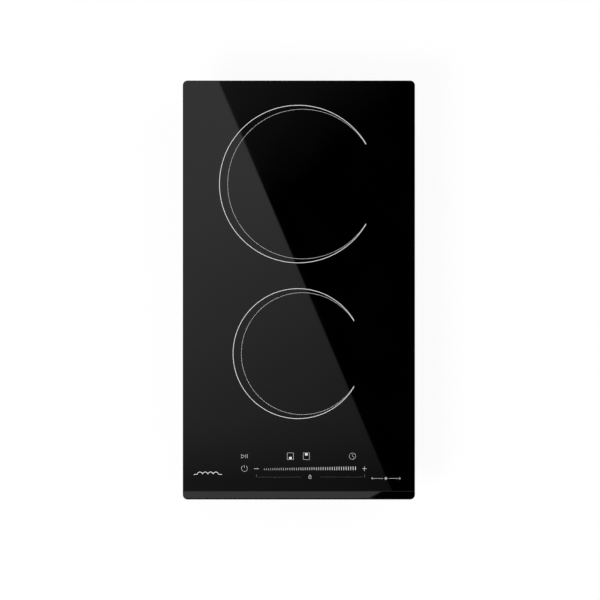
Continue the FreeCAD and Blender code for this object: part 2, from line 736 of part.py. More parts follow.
def carrier(zone, angle):
    rim, outer = zone + "_carrier", zone + "_coil_outer"
    made = body("carrier_" + zone, y=zone + "_coil_y")
    base = sketch(made, offset="carrier_low")
    circle(base, "0", "0", rim)
    circle(base, "0", "0", "carrier_bore")
    pad(made, base, "carrier_thick")
    walls = sketch(made, offset="carrier_top - 0.2")
    circle(walls, "0", "0", rim)
    circle(walls, "0", "0", rim + " - carrier_rim")
    pad(made, walls, "wire_radius * 2")
    hub = sketch(made, offset="carrier_top - 0.2")
    circle(hub, "0", "0", "coil_inner - wire_radius - wire_pitch - 1")
    circle(hub, "0", "0", "carrier_bore")
    pad(made, hub, "wire_radius * 2")
    channel_walls(made, zone)
    carrier_windows(made, zone, angle)


def channel_walls(made, zone):
    sk = sketch(made, offset="ferrite_low + 0.2")
    near, far = "coil_inner + 5", zone + "_coil_outer - 2"
    inner, outer = "ferrite_width / 2 + stack_gap", "ferrite_width / 2 + stack_gap + channel_wall"
    for side in ("", "-1 * "):
        polygon(sk, [(near, "%s(%s)" % (side, inner)), (far, "%s(%s)" % (side, inner)),
                     (far, "%s(%s)" % (side, outer)), (near, "%s(%s)" % (side, outer))])
    wall = pad(made, sk, "ferrite_thick")
    polar(made, wall, sk, "8")


def carrier_windows(made, zone, angle):
    slope, clear = math.tan(math.radians(22.5)), 6.5 / math.cos(math.radians(22.5))
    sk = sketch(made, offset="carrier_top + 0.5")
    near, far = "coil_inner + 2", zone + "_coil_outer - 8"
    spread = ["(%s) * %.6f - %.6f" % (reach, slope, clear) for reach in (near, far)]
    turned = []
    for reach, side, width in ((near, -1, spread[0]), (far, -1, spread[1]),
                               (far, 1, spread[1]), (near, 1, spread[0])):
        c, s = math.cos(math.radians(22.5)), math.sin(math.radians(22.5))
        turned.append(("(%s) * %.6f - %d * (%s) * %.6f" % (reach, c, side, width, s),
                       "(%s) * %.6f + %d * (%s) * %.6f" % (reach, s, side, width, c)))
    polygon(sk, turned)
    window = pocket(made, sk, "carrier_thick + 1")
    polar(made, window, sk, "8")
    DOC.recompute()
    lead = sketch(made, offset="carrier_top + 0.5")
    c, s = math.cos(math.radians(angle)), math.sin(math.radians(angle))
    reach = zone + "_coil_outer - 2"
    for aside in lead_sides():
        circle(lead, "(%s) * %.6f - %.6f" % (reach, c, aside * s),
               "(%s) * %.6f + %.6f" % (reach, s, aside * c), "wire_radius + 0.4")
    pocket(made, lead, "carrier_thick + 1")


def ferrites(zone):
    made = body("ferrites_" + zone, y=zone + "_coil_y", z="ferrite_low")
    sk = sketch(made)
    arm_polygon(sk, "coil_inner + 6", zone + "_coil_outer - 3", "ferrite_width / 2")
    polar(made, pad(made, sk, "ferrite_thick"), sk, "8")


def coil_plate(zone, angle):
    made = body("coil_plate_" + zone, y=zone + "_coil_y", z="coil_plate_low")
    sk = sketch(made)
    circle(sk, "0", "0", zone + "_carrier")
    circle(sk, "0", "0", "coil_plate_bore")
    for stud in STUD_ANGLES:
        c, s = math.cos(math.radians(stud)), math.sin(math.radians(stud))
        circle(sk, "%s_stud_circle * %.6f" % (zone, c), "%s_stud_circle * %.6f" % (zone, s),
               "stud_radius + 0.5")
    c, s = math.cos(math.radians(angle)), math.sin(math.radians(angle))
    reach = zone + "_coil_outer - 3"
    circle(sk, "(%s) * %.6f" % (reach, c), "(%s) * %.6f" % (reach, s), "wire_radius + 3.4")
    pad(made, sk, "coil_plate_thick")


def coil_springs(zone):
    made = [spring(x, y, "deck_top", "coil_spring_radius", "coil_spring_wire / 2", "spring_gap",
                   "3.5") for x, y in stud_spots(zone)]
    grouped("coil_springs_" + zone, made)


def sensor(zone):
    made = body("sensor_" + zone, y=zone + "_coil_y", z="seal_thick")
    sk = sketch(made, "XZ_Plane")
    ring_top = "deck_low - 1.5 - seal_thick"
    polygon(sk, [
        ("0", "0"), ("sensor_radius - 0.6", "0"), ("sensor_radius", "-0.6"),
        ("sensor_radius", "-sensor_high"), ("sensor_stem", "-sensor_high"),
        ("sensor_stem", ring_top), ("sensor_ring", ring_top), ("sensor_ring", ring_top + " - 0.6"),
        ("sensor_stem - 0.8", ring_top + " - 1.6"), ("0", ring_top + " - 1.6")])
    revolve(made, sk)
    grouped("sensor_spring_" + zone,
            [spring("0", zone + "_coil_y", "deck_top", "sensor_spring_radius",
                    "sensor_spring_wire / 2", "seal_thick - sensor_high - deck_top", "6")])


def lead_sides():
    """How far each lead of a pair runs to either side of its line."""
    half = val("wire_radius + 0.9")
    return -half, half


def tab_spots(zone, angle):
    """Where a coil's two leads meet the power board, beside the drop from the coil."""
    spots = []
    for aside in lead_sides():
        x, y = around(zone, zone + "_coil_outer - 2", angle, aside)
        shift = aside * math.cos(math.radians(angle))
        spots.append((x + " - 9", "%s_tab_y + %.6f" % (zone, shift)))
    return spots


def coil_leads(zone, angle):
    """Two leads from the ends of a winding, down to their tabs on the power board."""
    wire, bend = val("wire_radius"), 4.5
    top = val("wire_mid - wire_radius - stack_gap / 2")
    low = val("board_top + tab_high + 0.1")
    reach = zone + "_coil_outer - 2"
    made = []
    for aside, (tab_x, tab_y) in zip(lead_sides(), tab_spots(zone, angle)):
        inner = aside > 0
        x, y = (val(text) for text in around(zone, reach, angle, aside))
        ex, ey = val(tab_x), val(tab_y)
        turn = -25.6 if inner == (zone == "rear") else -22.4
        points = [V(x, y, top), V(x, y, turn), V(ex, ey, turn - 5.6), V(ex, ey, low)]
        if inner:
            ax, ay = (val(text) for text in around(zone, "coil_inner + 4", angle, 0))
            bx, by = (val(text) for text in around(zone, "coil_inner + 16", angle, aside))
            under = val("carrier_low - wire_radius - 0.4")
            points = [V(ax, ay, top), V(ax, ay, under), V(bx, by, under), V(x, y, under)] + points[1:]
            made.append(tube(points, wire, 1.9))
        else:
            made.append(tube(points, wire, bend))
    shaped("coil_leads_" + zone, Part.makeCompound(made))


# ---- fan

def fan_frame():
    fan = body("fan_frame", "fan_x", "fan_y", "floor_top")
    outline = sketch(fan)
    rounded(outline, "0", "0", "fan_size", "fan_size", "4")
    circle(outline, "0", "0", "fan_bore")
    for a in "+-":
        for b in "+-":
            circle(outline, "0 %s (%s)" % (a, FAN_REACH), "0 %s (%s)" % (b, FAN_REACH),
                   "screw_hole")
    pad(fan, outline, "fan_high")
    hub = sketch(fan)
    circle(hub, "0", "0", "hub_radius")
    pad(fan, hub, "2")
    struts = sketch(fan)
    arm_polygon(struts, "hub_radius - 1", "fan_bore + 1", "2")
    polar(fan, pad(fan, struts, "2"), struts, "3")
    tower = sketch(fan, offset="1.5")
    circle(tower, "0", "0", "3.2")
    circle(tower, "0", "0", "shaft_radius + 1")
    pad(fan, tower, "13.7")


def fan_core():
    bearing = body("fan_bearing", "fan_x", "fan_y", "floor_top + 2.2")
    sk = sketch(bearing)
    circle(sk, "0", "0", "shaft_radius + 0.95")
    circle(sk, "0", "0", "shaft_radius + pin_gap")
    pad(bearing, sk, "12")
    stator = body("fan_stator", "fan_x", "fan_y", "floor_top + 5")
    ring = sketch(stator)
    circle(ring, "0", "0", "8")
    circle(ring, "0", "0", "3.25")
    pad(stator, ring, "7")
    neck = sketch(stator, offset="2")
    arm_polygon(neck, "7", "12.5", "2.5")
    polar(stator, pad(stator, neck, "3"), neck, "4")
    shoe = sketch(stator, offset="1")
    arm_polygon(shoe, "12", "13.6", "5")
    polar(stator, pad(stator, shoe, "5"), shoe, "4")


def fan_rotor():
    """Hub cup with its shaft, and pitched blades between flat root and tip sections."""
    hub, wall, tip = val("hub_radius"), val("hub_wall"), val("fan_bore - blade_gap")
    thick, shaft = val("blade_thick"), val("shaft_radius")
    cup = Part.makeCylinder(hub, 14.4, V(0, 0, 4.2)).cut(
        Part.makeCylinder(hub - wall, 13.1, V(0, 0, 4.2)))
    cup = cup.fuse(Part.makeCylinder(shaft, 15.2, V(0, 0, 3)))
    blades = []
    for i in range(int(val("blade_count"))):
        sections = []
        for reach, chord, pitch in ((hub - wall / 2, 13.5, 42), (tip - 0.8, 19, 27)):
            tilt = math.radians(pitch)
            along = V(0, math.cos(tilt), math.sin(tilt)) * (chord / 2)
            across = V(0, -math.sin(tilt), math.cos(tilt)) * (thick / 2)
            middle = V(reach, 0, 11)
            sections.append(Part.makePolygon([
                middle - along - across, middle + along - across, middle + along + across,
                middle - along + across, middle - along - across]))
        blade = Part.makeLoft(sections, True, True)
        blade.rotate(V(), V(0, 0, 1), i * 360 / val("blade_count"))
        blades.append(blade)
    rotor = cup.multiFuse(blades)
    space = Part.makeCylinder(hub - wall, 13.1, V(0, 0, 4.2)).cut(
        Part.makeCylinder(shaft, 15.2, V(0, 0, 3)))
    shaped("fan_rotor", rotor.cut(space), "fan_x", "fan_y", "floor_top")


# ---- power board

def power_board():
    board = body("power_board", z="board_low")
    sk = sketch(board)
    rounded(sk, "0", "0", "board_width", "board_depth", "3")
    for x, y in STANDOFFS:
        circle(sk, x, y, "screw_pass")
    pad(board, sk, "board_thick")
    posts = body("board_standoffs", z="floor_top")
    sk = sketch(posts)
    for x, y in STANDOFFS:
        circle(sk, x, y, "standoff_radius")
        circle(sk, x, y, "screw_hole")
    pad(posts, sk, "standoff_high")
    grouped("board_screws", [screw(x, y, "board_top", "-z", "board_thick + standoff_high - 1")
                             for x, y in STANDOFFS])


def heat_sink():
    sink = body("heat_sink", "sink_x", "sink_y", "board_top")
    base = sketch(sink)
    rectangle(base, "0", "0", "sink_width", "sink_long")
    pad(sink, base, "sink_base")
    fin = sketch(sink, offset="sink_base - 0.5")
    rectangle(fin, "fin_thick / 2 - sink_width / 2", "0", "fin_thick", "sink_long")
    one = pad(sink, fin, "sink_high - sink_base + 0.5")
    linear(sink, one, fin, "H_Axis", "sink_width - fin_thick", "fin_count")


def package(y):
    """A power package that stands against the side of the heat sink, on three legs."""
    side = "sink_x - sink_width / 2"
    parts = [block(side + " - 2.6", y, "board_top + 3", "5", "16", "18")]
    for step in (-5, 0, 5):
        parts.append(block(side + " - 2.6", "(%s) + %d" % (y, step), "board_top", "0.7", "1.3",
                           "3.2"))
    return joined(parts)


def board_parts():
    grouped("power_transistors", [package("sink_y - %d" % back) for back in (61, 33, 5, -23)])
    grouped("bridge_rectifier", [package("sink_y + 55")])
    blocks = []
    for y in (-46, -18, 10, 38):
        filleted = DOC.addObject("Part::Fillet", "Cap")
        filleted.Base = block("4", str(y), "board_top", "24", "12", "18")
        filleted.Edges = [(i, 1.0, 1.0) for i in (2, 4, 6, 8, 10, 12)]
        blocks.append(filleted)
    grouped("film_capacitors", blocks)
    cans = []
    for x, y in ((-60, -60), (-60, -44), (-44, -60)):
        can = rod(str(x), str(y), "board_top", "6", "20")
        groove = less(rod(str(x), str(y), "board_top + 2.5", "7", "1"),
                      rod(str(x), str(y), "board_top + 2.4", "5.6", "1.2"))
        cans.append(less(can, groove))
    grouped("electrolytic_capacitors", cans)
    core = less(block("-86", "-20", "board_top", "24", "20", "17"),
                block("-86", "-20", "board_top + 3", "16", "30", "11"))
    leg = block("-86", "-20", "board_top + 2", "6", "20", "13")
    winding_part = less(block("-86", "-20", "board_top + 3.2", "15.4", "25", "10.6"),
                        block("-86", "-20", "board_top + 3", "6.2", "20.2", "12"))
    grouped("pulse_transformer", [joined([core, leg]), winding_part])


def input_choke():
    """A toroid that lies on the board, with two windings of square-cut loops."""
    core = Part.makeCylinder(16, 13, V(0, 0, 1.6)).cut(Part.makeCylinder(8, 15, V(0, 0, 1)))
    loops = []
    for start in (20, 200):
        for i in range(10):
            outer = Part.makeBox(11.4, 1.5, 16.2, V(6.3, -0.75, 0))
            inner = Part.makeBox(8.4, 3, 13.4, V(7.8, -1.5, 1.4))
            loop = outer.cut(inner)
            loop.rotate(V(), V(0, 0, 1), start + 15.5 * i)
            loops.append(loop)
    shaped("input_choke", Part.makeCompound([core] + loops), "-86", "45", "board_top")


def board_connectors():
    parts = [block(x, y, "board_top", "3.6", "3.6", "tab_high")
             for zone, angle in ZONES for x, y in tab_spots(zone, angle)]
    parts.append(block("box_x", "board_depth / 2 - 10", "board_top", "32", "12", "10"))
    parts.append(block("fan_x - fan_size / 2 + 2", "board_depth / 2 - 8", "board_top", "10", "7",
                       "7"))
    parts.append(block("ribbon_x", "ribbon_end + 4", "board_top", "18", "7.6", "7"))
    grouped("board_connectors", parts)


def ribbon_cable():
    wide, thick = 14.0, 0.9
    start = V(val("ribbon_x"), val("touch_y") + 10, val("touch_low") - 4.1)
    low = val("board_top") + 5
    points = [start, V(start.x, start.y, low), V(start.x, val("ribbon_end"), low)]
    path = bent_path(points, 9)
    across = V(wide / 2, 0, 0)
    deep = V(0, thick / 2, 0)
    corners = [start - across - deep, start + across - deep, start + across + deep,
               start - across + deep, start - across - deep]
    ribbon = path.makePipeShell([Part.makePolygon(corners)], True, False)
    shaped("ribbon_cable", ribbon)


def fan_lead():
    x, y = val("fan_x - fan_size / 2 + 8"), val("fan_y - fan_size / 2")
    z = val("board_top") + 4
    end = val("board_depth / 2 - 4.5")
    points = [V(x, y - 0.1, z), V(x, y - 10, z), V(x - 6, y - 18, z), V(x - 6, end + 0.1, z)]
    shaped("fan_lead", tube(points, 1.1, 5))


def mains_leads():
    made = []
    start, end = val("box_front + 9.8"), val("board_depth / 2 - 3.9")
    high, low = val("box_top") - 9, val("board_top") + 5
    for step in (-10, 0, 10):
        x = val("box_x") + step
        made.append(tube([V(x, start, high), V(x, start - 45, high), V(x, end + 26, low),
                          V(x, end, low)], 1.5, 14))
    shaped("mains_leads", Part.makeCompound(made))


# ---- touch board

KEYS = ((-67.6, -206), (-67.6, -221), (-52.7, -221.5), (81.4, -221.5), (-10.5, -206),
        (9.3, -206), (66.5, -206), (13.7, -231.4))


def key_spots():
    """Key centres, kept at their place from the front edge of the glass."""
    return [(str(x), "%.1f - glass_depth / 2" % (260 + y)) for x, y in KEYS]


def touch_board():
    board = body("touch_board", z="touch_low")
    sk = sketch(board)
    rounded(sk, "touch_x", "touch_y", "touch_width", "touch_depth", "2")
    pad(board, sk, "board_thick")
    plug = sketch(board, offset="-4")
    rectangle(plug, "ribbon_x", "touch_y + 10", "18", "6")
    pad(board, plug, "4.2")
    grouped("touch_springs", [spring(x, y, "touch_top", "1.9", "0.25", "touch_gap", "5")
                              for x, y in key_spots()] + slider_pads())
    grouped("display_modules", [block(x, "touch_y + 13", "touch_top", "13", "10", "touch_gap - 1")
                                for x in ("-30", "30", "46")])


def slider_pads():
    """Conductive foam pads under the slider scale."""
    return [block(str(-38 + 15 * i), "touch_inset - 3.5 - glass_depth / 2", "touch_top", "9", "5",
                  "touch_gap - 0.05") for i in range(8)]


def touch_board_holder():
    holder = body("touch_board_holder")
    base = sketch(holder, offset="holder_low")
    wide, deep = "touch_width + 2 * holder_rim + 2 * fit_gap", "touch_depth + 2 * holder_rim + 2 * fit_gap"
    rounded(base, "touch_x", "touch_y", wide, deep, "3")
    rounded(base, "touch_x", "touch_y", "touch_width - 16", "touch_depth - 12", "2")
    pad(holder, base, "holder_high")
    rim = sketch(holder, offset="touch_low - 0.5")
    rounded(rim, "touch_x", "touch_y", wide, deep, "3")
    rounded(rim, "touch_x", "touch_y", "touch_width + 2 * fit_gap", "touch_depth + 2 * fit_gap",
            "2.2")
    pad(holder, rim, "board_thick + 1")
    legs = sketch(holder, offset="floor_top")
    bores = sketch(holder, offset="floor_top")
    for x, y in HOLDER_SCREWS:
        circle(legs, x, y, "holder_leg")
        circle(bores, x, y, "screw_hole")
    pad(holder, legs, "holder_low - floor_top + 1")
    DOC.recompute()
    pad_cut(holder, bores, "screw_long + 3")


def floor_screws():
    grouped("floor_screws", [screw(x, y, "-tray_deep", "z") for x, y in FLOOR_SCREWS])


# ---- terminal box

def terminal_box():
    box = body("terminal_box")
    outline = sketch(box, offset="floor_top")
    rounded(outline, "box_x", "box_y", "box_width", "box_depth", "2.5")
    pad(box, outline, "box_high")
    inside = sketch(box, offset="floor_top")
    rounded(inside, "box_x", "box_y", "box_width - 2 * box_wall", "box_depth - 2 * box_wall",
            "1.5")
    pad_cut(box, inside, "box_high - box_wall")
    ears = sketch(box, offset="floor_top")
    for side in ("+", "-"):
        rectangle(ears, "box_x %s (box_width / 2 + 3.5)" % side, "box_front + 10", "9", "10")
    pad(box, ears, "9")
    bores = sketch(box, offset="floor_top")
    for x, y in BOX_SCREWS:
        circle(bores, x, y, "screw_hole")
    pad_cut(box, bores, "screw_long + 1")
    entry = sketch(box, "XZ_Plane", offset="-box_rear - 1")
    circle(entry, "box_x", "gland_z", "gland_radius + fit_gap")
    pad_cut(box, entry, "box_wall + 2")
    exits = sketch(box, "XZ_Plane", offset="-box_front - 3")
    for step in ("- 10", "+ 0", "+ 10"):
        circle(exits, "box_x " + step, "box_top - 9", "1.9")
    pad_cut(box, exits, "6")
    knuckles(box)


def knuckles(box):
    arm = sketch(box, "YZ_Plane", offset="box_x")
    polygon(arm, [("hinge_y - 1", "hinge_z"), ("hinge_y + 1", "hinge_z"),
                  ("hinge_y + 1", "floor_top + 1"), ("hinge_y - 1", "floor_top + 1")])
    eye = sketch(box, "YZ_Plane", offset="box_x")
    circle(eye, "hinge_y", "hinge_z", "knuckle_radius")
    gap = sketch(box, "YZ_Plane", offset="box_x")
    rectangle(gap, "hinge_y", "hinge_z + 1", "6", "5.4")
    bore = sketch(box, "YZ_Plane", offset="box_x")
    circle(bore, "hinge_y", "hinge_z", "pin_radius + pin_gap")
    for profile in (arm, eye):
        pad(box, profile, "46", both=True)
    middle = pocket(box, gap, "38")
    middle.SideType = "Symmetric"
    hole = pocket(box, bore, "60")
    hole.SideType = "Symmetric"


def terminal_lid():
    lid = body("terminal_lid")
    top = "-tray_deep - lid_gap"
    plate = sketch(lid, offset=top + " - lid_thick")
    near, far = "hinge_y + knuckle_radius + 0.6", "box_rear - 1.4"
    middle, deep = "(%s + %s) / 2" % (near, far), "%s - (%s)" % (far, near)
    rounded(plate, "box_x", middle, "box_width - 4", deep, "2")
    pad(lid, plate, "lid_thick")
    strap = sketch(lid, offset=top + " - lid_thick")
    polygon(strap, [("box_x - 18.5", "hinge_y"), ("box_x + 18.5", "hinge_y"),
                    ("box_x + 18.5", near + " + 1"), ("box_x - 18.5", near + " + 1")])
    pad(lid, strap, "lid_thick")
    barrel = sketch(lid, "YZ_Plane", offset="box_x")
    circle(barrel, "hinge_y", "hinge_z", "knuckle_radius")
    pad(lid, barrel, "37", both=True)
    pin = sketch(lid, "YZ_Plane", offset="box_x")
    circle(pin, "hinge_y", "hinge_z", "pin_radius")
    pad(lid, pin, "48", both=True)
    tongue = sketch(lid, offset=top + " - 0.5")
    rectangle(tongue, "box_x", "box_rear - 6.2", "20", "1.6")
    pad(lid, tongue, "4.5")


def terminal_block():
    wide = "pole_count * pole_pitch"
    block_body = body("terminal_block", "box_x", "box_front + 19", "box_top - box_wall - 16.1")
    outline = sketch(block_body)
    rectangle(outline, "0", "0", wide, "18")
    pad(block_body, outline, "16")
    first = "pole_pitch / 2 - pole_count * pole_pitch / 2"
    screws = sketch(block_body)
    circle(screws, first, "0", "2.6")
    linear(block_body, pad_cut(block_body, screws, "7"), screws, "H_Axis",
           "(pole_count - 1) * pole_pitch", "pole_count")
    entries = sketch(block_body, "XZ_Plane", offset="-10")
    circle(entries, first, "9", "2.2")
    linear(block_body, pad_cut(block_body, entries, "8"), entries, "H_Axis",
           "(pole_count - 1) * pole_pitch", "pole_count")
    made = []
    for i in range(int(val("pole_count"))):
        x = "box_x + %s + %d * pole_pitch" % (first, i)
        low = "box_top - box_wall - 15.4"
        made.append(less(rod(x, "box_front + 19", low, "2.4", "6"),
                         block(x, "box_front + 19", low + " - 0.1", "0.8", "6", "1.1")))
    grouped("terminal_screws", made)


def cable_gland():
    """A rubber gland whose groove holds the tray wall and the box wall."""
    gland = body("cable_gland")
    for offset, radius, length in (
            ("-tray_depth / 2 - 1.4", "gland_flange", "1.3"),
            ("-tray_depth / 2 - 0.3", "gland_radius", "tray_sheet + fit_gap + box_wall + 0.6"),
            ("-box_rear + box_wall + 0.1", "gland_flange", "1.6")):
        sk = sketch(gland, "XZ_Plane", offset=offset)
        circle(sk, "box_x", "gland_z", radius)
        circle(sk, "box_x", "gland_z", "gland_bore")
        pad(gland, sk, length)


# ---- side clips

def clip_place(side, way):
    return {"x": "%d * tray_width / 2" % side, "y": "%d * clip_y" % way,
            "turn": 0 if side > 0 else 180}


def side_clip(side, way):
    """A spring leaf whose rolled eye turns on the bracket's pin; local +X points outward."""
    name = "side_clip_%s_%s" % ("right" if side > 0 else "left", "rear" if way > 0 else "front")
    clip = body(name, **clip_place(side, way))
    eye = sketch(clip, "XZ_Plane")
    circle(eye, "clip_pivot_out", "pivot_z", "pin_radius + 0.7")
    circle(eye, "clip_pivot_out", "pivot_z", "pin_radius + pin_gap")
    pad(clip, eye, "clip_width - 1", both=True)
    leaf = sketch(clip, "XZ_Plane")
    foot, crest = "clip_pivot_out + pin_radius + 0.7", "clip_out"
    polygon(leaf, [(foot + " - 0.6", "pivot_z"), (foot, "pivot_z"), (crest, "-14"),
                   (crest + " - 2.2", "-4.3"), (crest + " - 2.2 - clip_thick", "-4.5"),
                   (crest + " - clip_thick", "-14")])
    pad(clip, leaf, "clip_width - 1", both=True)


def clip_brackets():
    made = []
    for side, way in CLIP_SPOTS:
        x, y = "%d * (tray_width / 2" % side, "%d * clip_y" % way
        plate = block(x + " + 0.5)", y, "pivot_z - 10", "1", "clip_width + 8", "14")
        parts = [plate]
        for step in ("+", "-"):
            at = "%s %s (clip_width / 2 + 2)" % (y, step)
            parts.append(block(x + " + clip_pivot_out / 2 + 0.8)", at, "pivot_z - 1.7",
                               "clip_pivot_out + 1.4", "2", "3.4"))
            rivet = "%s %s (%s)" % (y, step, RIVET_Y)
            inward = "-x" if side > 0 else "x"
            parts.append(rod(x + " + 0.5)", rivet, RIVET_Z, "1.6", "2.5", inward))
        start = "%s - clip_width / 2 - 2" % y
        parts.append(rod(x + " + clip_pivot_out)", start, "pivot_z", "pin_radius",
                         "clip_width + 4", "y"))
        made.append(joined(parts))
    grouped("clip_brackets", made)


def check_and_write():
    DOC.recompute()
    for obj in DOC.Objects:
        if "Invalid" in obj.State or "Error" in obj.State:
            raise RuntimeError("%s (%s) failed" % (obj.Label, obj.TypeId))
    for made in PIECES:
        if made.Shape.isNull() or not made.Shape.isValid() or not made.Shape.Solids:
            raise RuntimeError(made.Label + " has no valid shape")
    os.makedirs("parts", exist_ok=True)
    for made in PIECES:
        made.Shape.exportStep("parts/%s.step" % made.Label)
        print(made.Label, len(made.Shape.Solids), round(made.Shape.Volume / 1000, 2))


def main():
    fill_sheet()
    glass_top()
    seal_and_bead()
    glass_frame()
    frame_screws()
    bottom_tray()
    coil_deck()
    deck_screws()
    guide_studs()
    for zone, angle in ZONES:
        mica(zone)
        winding(zone, angle)
        carrier(zone, angle)
        ferrites(zone)
        coil_plate(zone, angle)
        coil_springs(zone)
        sensor(zone)
        coil_leads(zone, angle)
    fan_frame()
    fan_core()
    fan_rotor()
    power_board()
    heat_sink()
    board_parts()
    input_choke()
    board_connectors()
    ribbon_cable()
    fan_lead()
    mains_leads()
    touch_board()
    touch_board_holder()
    floor_screws()
    terminal_box()
    terminal_lid()
    terminal_block()
    cable_gland()
    for side, way in CLIP_SPOTS:
        side_clip(side, way)
    clip_brackets()
    check_and_write()


main()
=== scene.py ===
import math

import bmesh
import bpy
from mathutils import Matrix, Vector


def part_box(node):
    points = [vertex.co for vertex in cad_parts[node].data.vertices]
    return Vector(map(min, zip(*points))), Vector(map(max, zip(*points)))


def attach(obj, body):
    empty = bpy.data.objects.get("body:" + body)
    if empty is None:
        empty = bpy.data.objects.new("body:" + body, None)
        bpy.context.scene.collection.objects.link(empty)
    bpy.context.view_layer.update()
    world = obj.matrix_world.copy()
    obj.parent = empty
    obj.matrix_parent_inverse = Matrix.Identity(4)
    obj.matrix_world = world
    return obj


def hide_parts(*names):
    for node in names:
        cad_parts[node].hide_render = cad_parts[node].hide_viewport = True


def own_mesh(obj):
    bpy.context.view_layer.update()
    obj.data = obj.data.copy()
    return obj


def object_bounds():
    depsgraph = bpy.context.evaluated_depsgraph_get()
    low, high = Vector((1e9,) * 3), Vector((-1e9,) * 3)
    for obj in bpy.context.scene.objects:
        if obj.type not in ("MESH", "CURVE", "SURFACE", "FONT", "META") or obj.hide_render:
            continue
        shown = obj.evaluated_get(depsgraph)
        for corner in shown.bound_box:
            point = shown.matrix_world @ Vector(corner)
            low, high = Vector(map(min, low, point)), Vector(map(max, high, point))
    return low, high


bl_info = {
    "name": "Built-in Induction Hob",
    "version": (1, 0, 0),
    "blender": (4, 5, 0),
    "location": "3D View > Sidebar > Hob",
    "description": "Prints, springs, leads and finishes of a two-zone built-in induction hob",
    "category": "Object",
}

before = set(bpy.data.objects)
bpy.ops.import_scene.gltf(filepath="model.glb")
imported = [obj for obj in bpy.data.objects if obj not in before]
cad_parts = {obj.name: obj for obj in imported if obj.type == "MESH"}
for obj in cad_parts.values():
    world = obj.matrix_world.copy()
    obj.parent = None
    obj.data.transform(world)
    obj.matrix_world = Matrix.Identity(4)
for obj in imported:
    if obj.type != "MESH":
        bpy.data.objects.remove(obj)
CAD_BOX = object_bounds()
LOW, HIGH = (Vector(corner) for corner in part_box("glass_top"))
GLASS_TOP = HIGH.z
FRONT = LOW.y
DECK_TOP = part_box("coil_deck")[1][2]
MM = 0.001

# Edges of the glass that are ground and not polished: by slope, and back from the front.
GROUND_TILT, GROUND_LIP = 0.93, 1.7 * MM

# Rows of the touch field, in millimetres from the middle of the glass, set from its front edge.
FRONT_EDGE = round(FRONT / MM)
KEY_ROW, POWER_ROW, SLIDER_ROW = FRONT_EDGE + 54.0, FRONT_EDGE + 39.0, FRONT_EDGE + 38.5
SLIDER_FOOT, BRACKET_ROW = FRONT_EDGE + 36.7, FRONT_EDGE + 28.1
COIL_SIGN_ROW, TOUCH_SIGN_ROW = FRONT_EDGE + 32.9, FRONT_EDGE + 26.4
SLIDER_START, SLIDER_LENGTH = -42.8, 113.0
BRACKET_LEFT, BRACKET_RIGHT, DOT_STEP = -52.6, 81.6, 2.6

# Camera over the glass: its place in metres, its lens and sensor in millimetres.
CAMERA_HIGH, CAMERA_X, CAMERA_Y = 2.069, 0.0014, -0.0123
LENS, SENSOR = 100.1, 36

# The overhead card, as it falls on the glass: half its depth, a point on its slanted edge and
# the way to the left of it, where its front bands start, and its light from front to rear.
CARD_HALF = 0.26
EDGE_X, EDGE_Y = -0.0949, 0.2484
LEAN_X, LEAN_Y = -0.9211, -0.3894
FRONT_CARD, ARRIS_CARD = -0.36, -0.52
CARD_BRIGHT = ((-0.236, 0.17), (-0.2, 0.27), (-0.186, 0.31), (-0.155, 0.38), (-0.093, 0.45),
               (-0.062, 0.495), (-0.031, 0.53), (0.031, 0.60), (0.08, 0.68), (0.132, 0.77),
               (0.26, 0.84))

# How much of the floor's look is its own glow.
FLOOR_GLOW = 0.9


# ---- colours and nodes

def linear(text):
    """An sRGB hex colour as linear red, green and blue."""
    parts = [int(text[i:i + 2], 16) / 255 for i in (1, 3, 5)]
    return [p / 12.92 if p <= 0.04045 else ((p + 0.055) / 1.055) ** 2.4 for p in parts]


def opaque(shade):
    """Four parts of a colour that is given as sRGB hex or as three linear parts."""
    return (linear(shade) if isinstance(shade, str) else list(shade)) + [1.0]


def add(tree, kind, settings=None, links=None):
    """Add a node, set its properties and sockets, and link sockets into it."""
    made = tree.nodes.new(kind)
    for key, value in (settings or {}).items():
        if isinstance(key, str) and key not in made.inputs:
            setattr(made, key, value)
        else:
            made.inputs[key].default_value = value
    for key, source in (links or {}).items():
        tree.links.new(source, made.inputs[key])
    return made


def surface(name, **sockets):
    """A new material with its shader's plain sockets set; gives tree, shader and place."""
    material = bpy.data.materials.new(name)
    material.use_nodes = True
    tree = material.node_tree
    shader = tree.nodes["Principled BSDF"]
    for key, value in sockets.items():
        shader.inputs[key.replace("_", " ")].default_value = value
    place = add(tree, "ShaderNodeTexCoord").outputs["Object"]
    return material, tree, shader, place


def patches(tree, place, size_mm, stretch=(1, 1, 1), detail=3.0):
    """Soft noise whose patches are about size_mm across, drawn out along an axis if asked."""
    drawn = add(tree, "ShaderNodeMapping", {"Scale": stretch}, {"Vector": place})
    return add(tree, "ShaderNodeTexNoise", {"Scale": 1000 / size_mm, "Detail": detail},
               {"Vector": drawn.outputs[0]}).outputs["Fac"]


def shade(tree, shader, factor, low, high, start=0.35, end=0.65):
    """Drift the base colour between two shades."""
    ramp = add(tree, "ShaderNodeValToRGB", {}, {"Fac": factor})
    ramp.color_ramp.elements[0].position = start
    ramp.color_ramp.elements[0].color = opaque(low)
    ramp.color_ramp.elements[1].position = end
    ramp.color_ramp.elements[1].color = opaque(high)
    tree.links.new(ramp.outputs["Color"], shader.inputs["Base Color"])


def gloss(tree, shader, factor, low, high):
    """Drift the roughness between two values."""
    level = add(tree, "ShaderNodeMapRange", {"From Min": 0.3, "From Max": 0.7, "To Min": low,
                                             "To Max": high}, {"Value": factor})
    tree.links.new(level.outputs[0], shader.inputs["Roughness"])


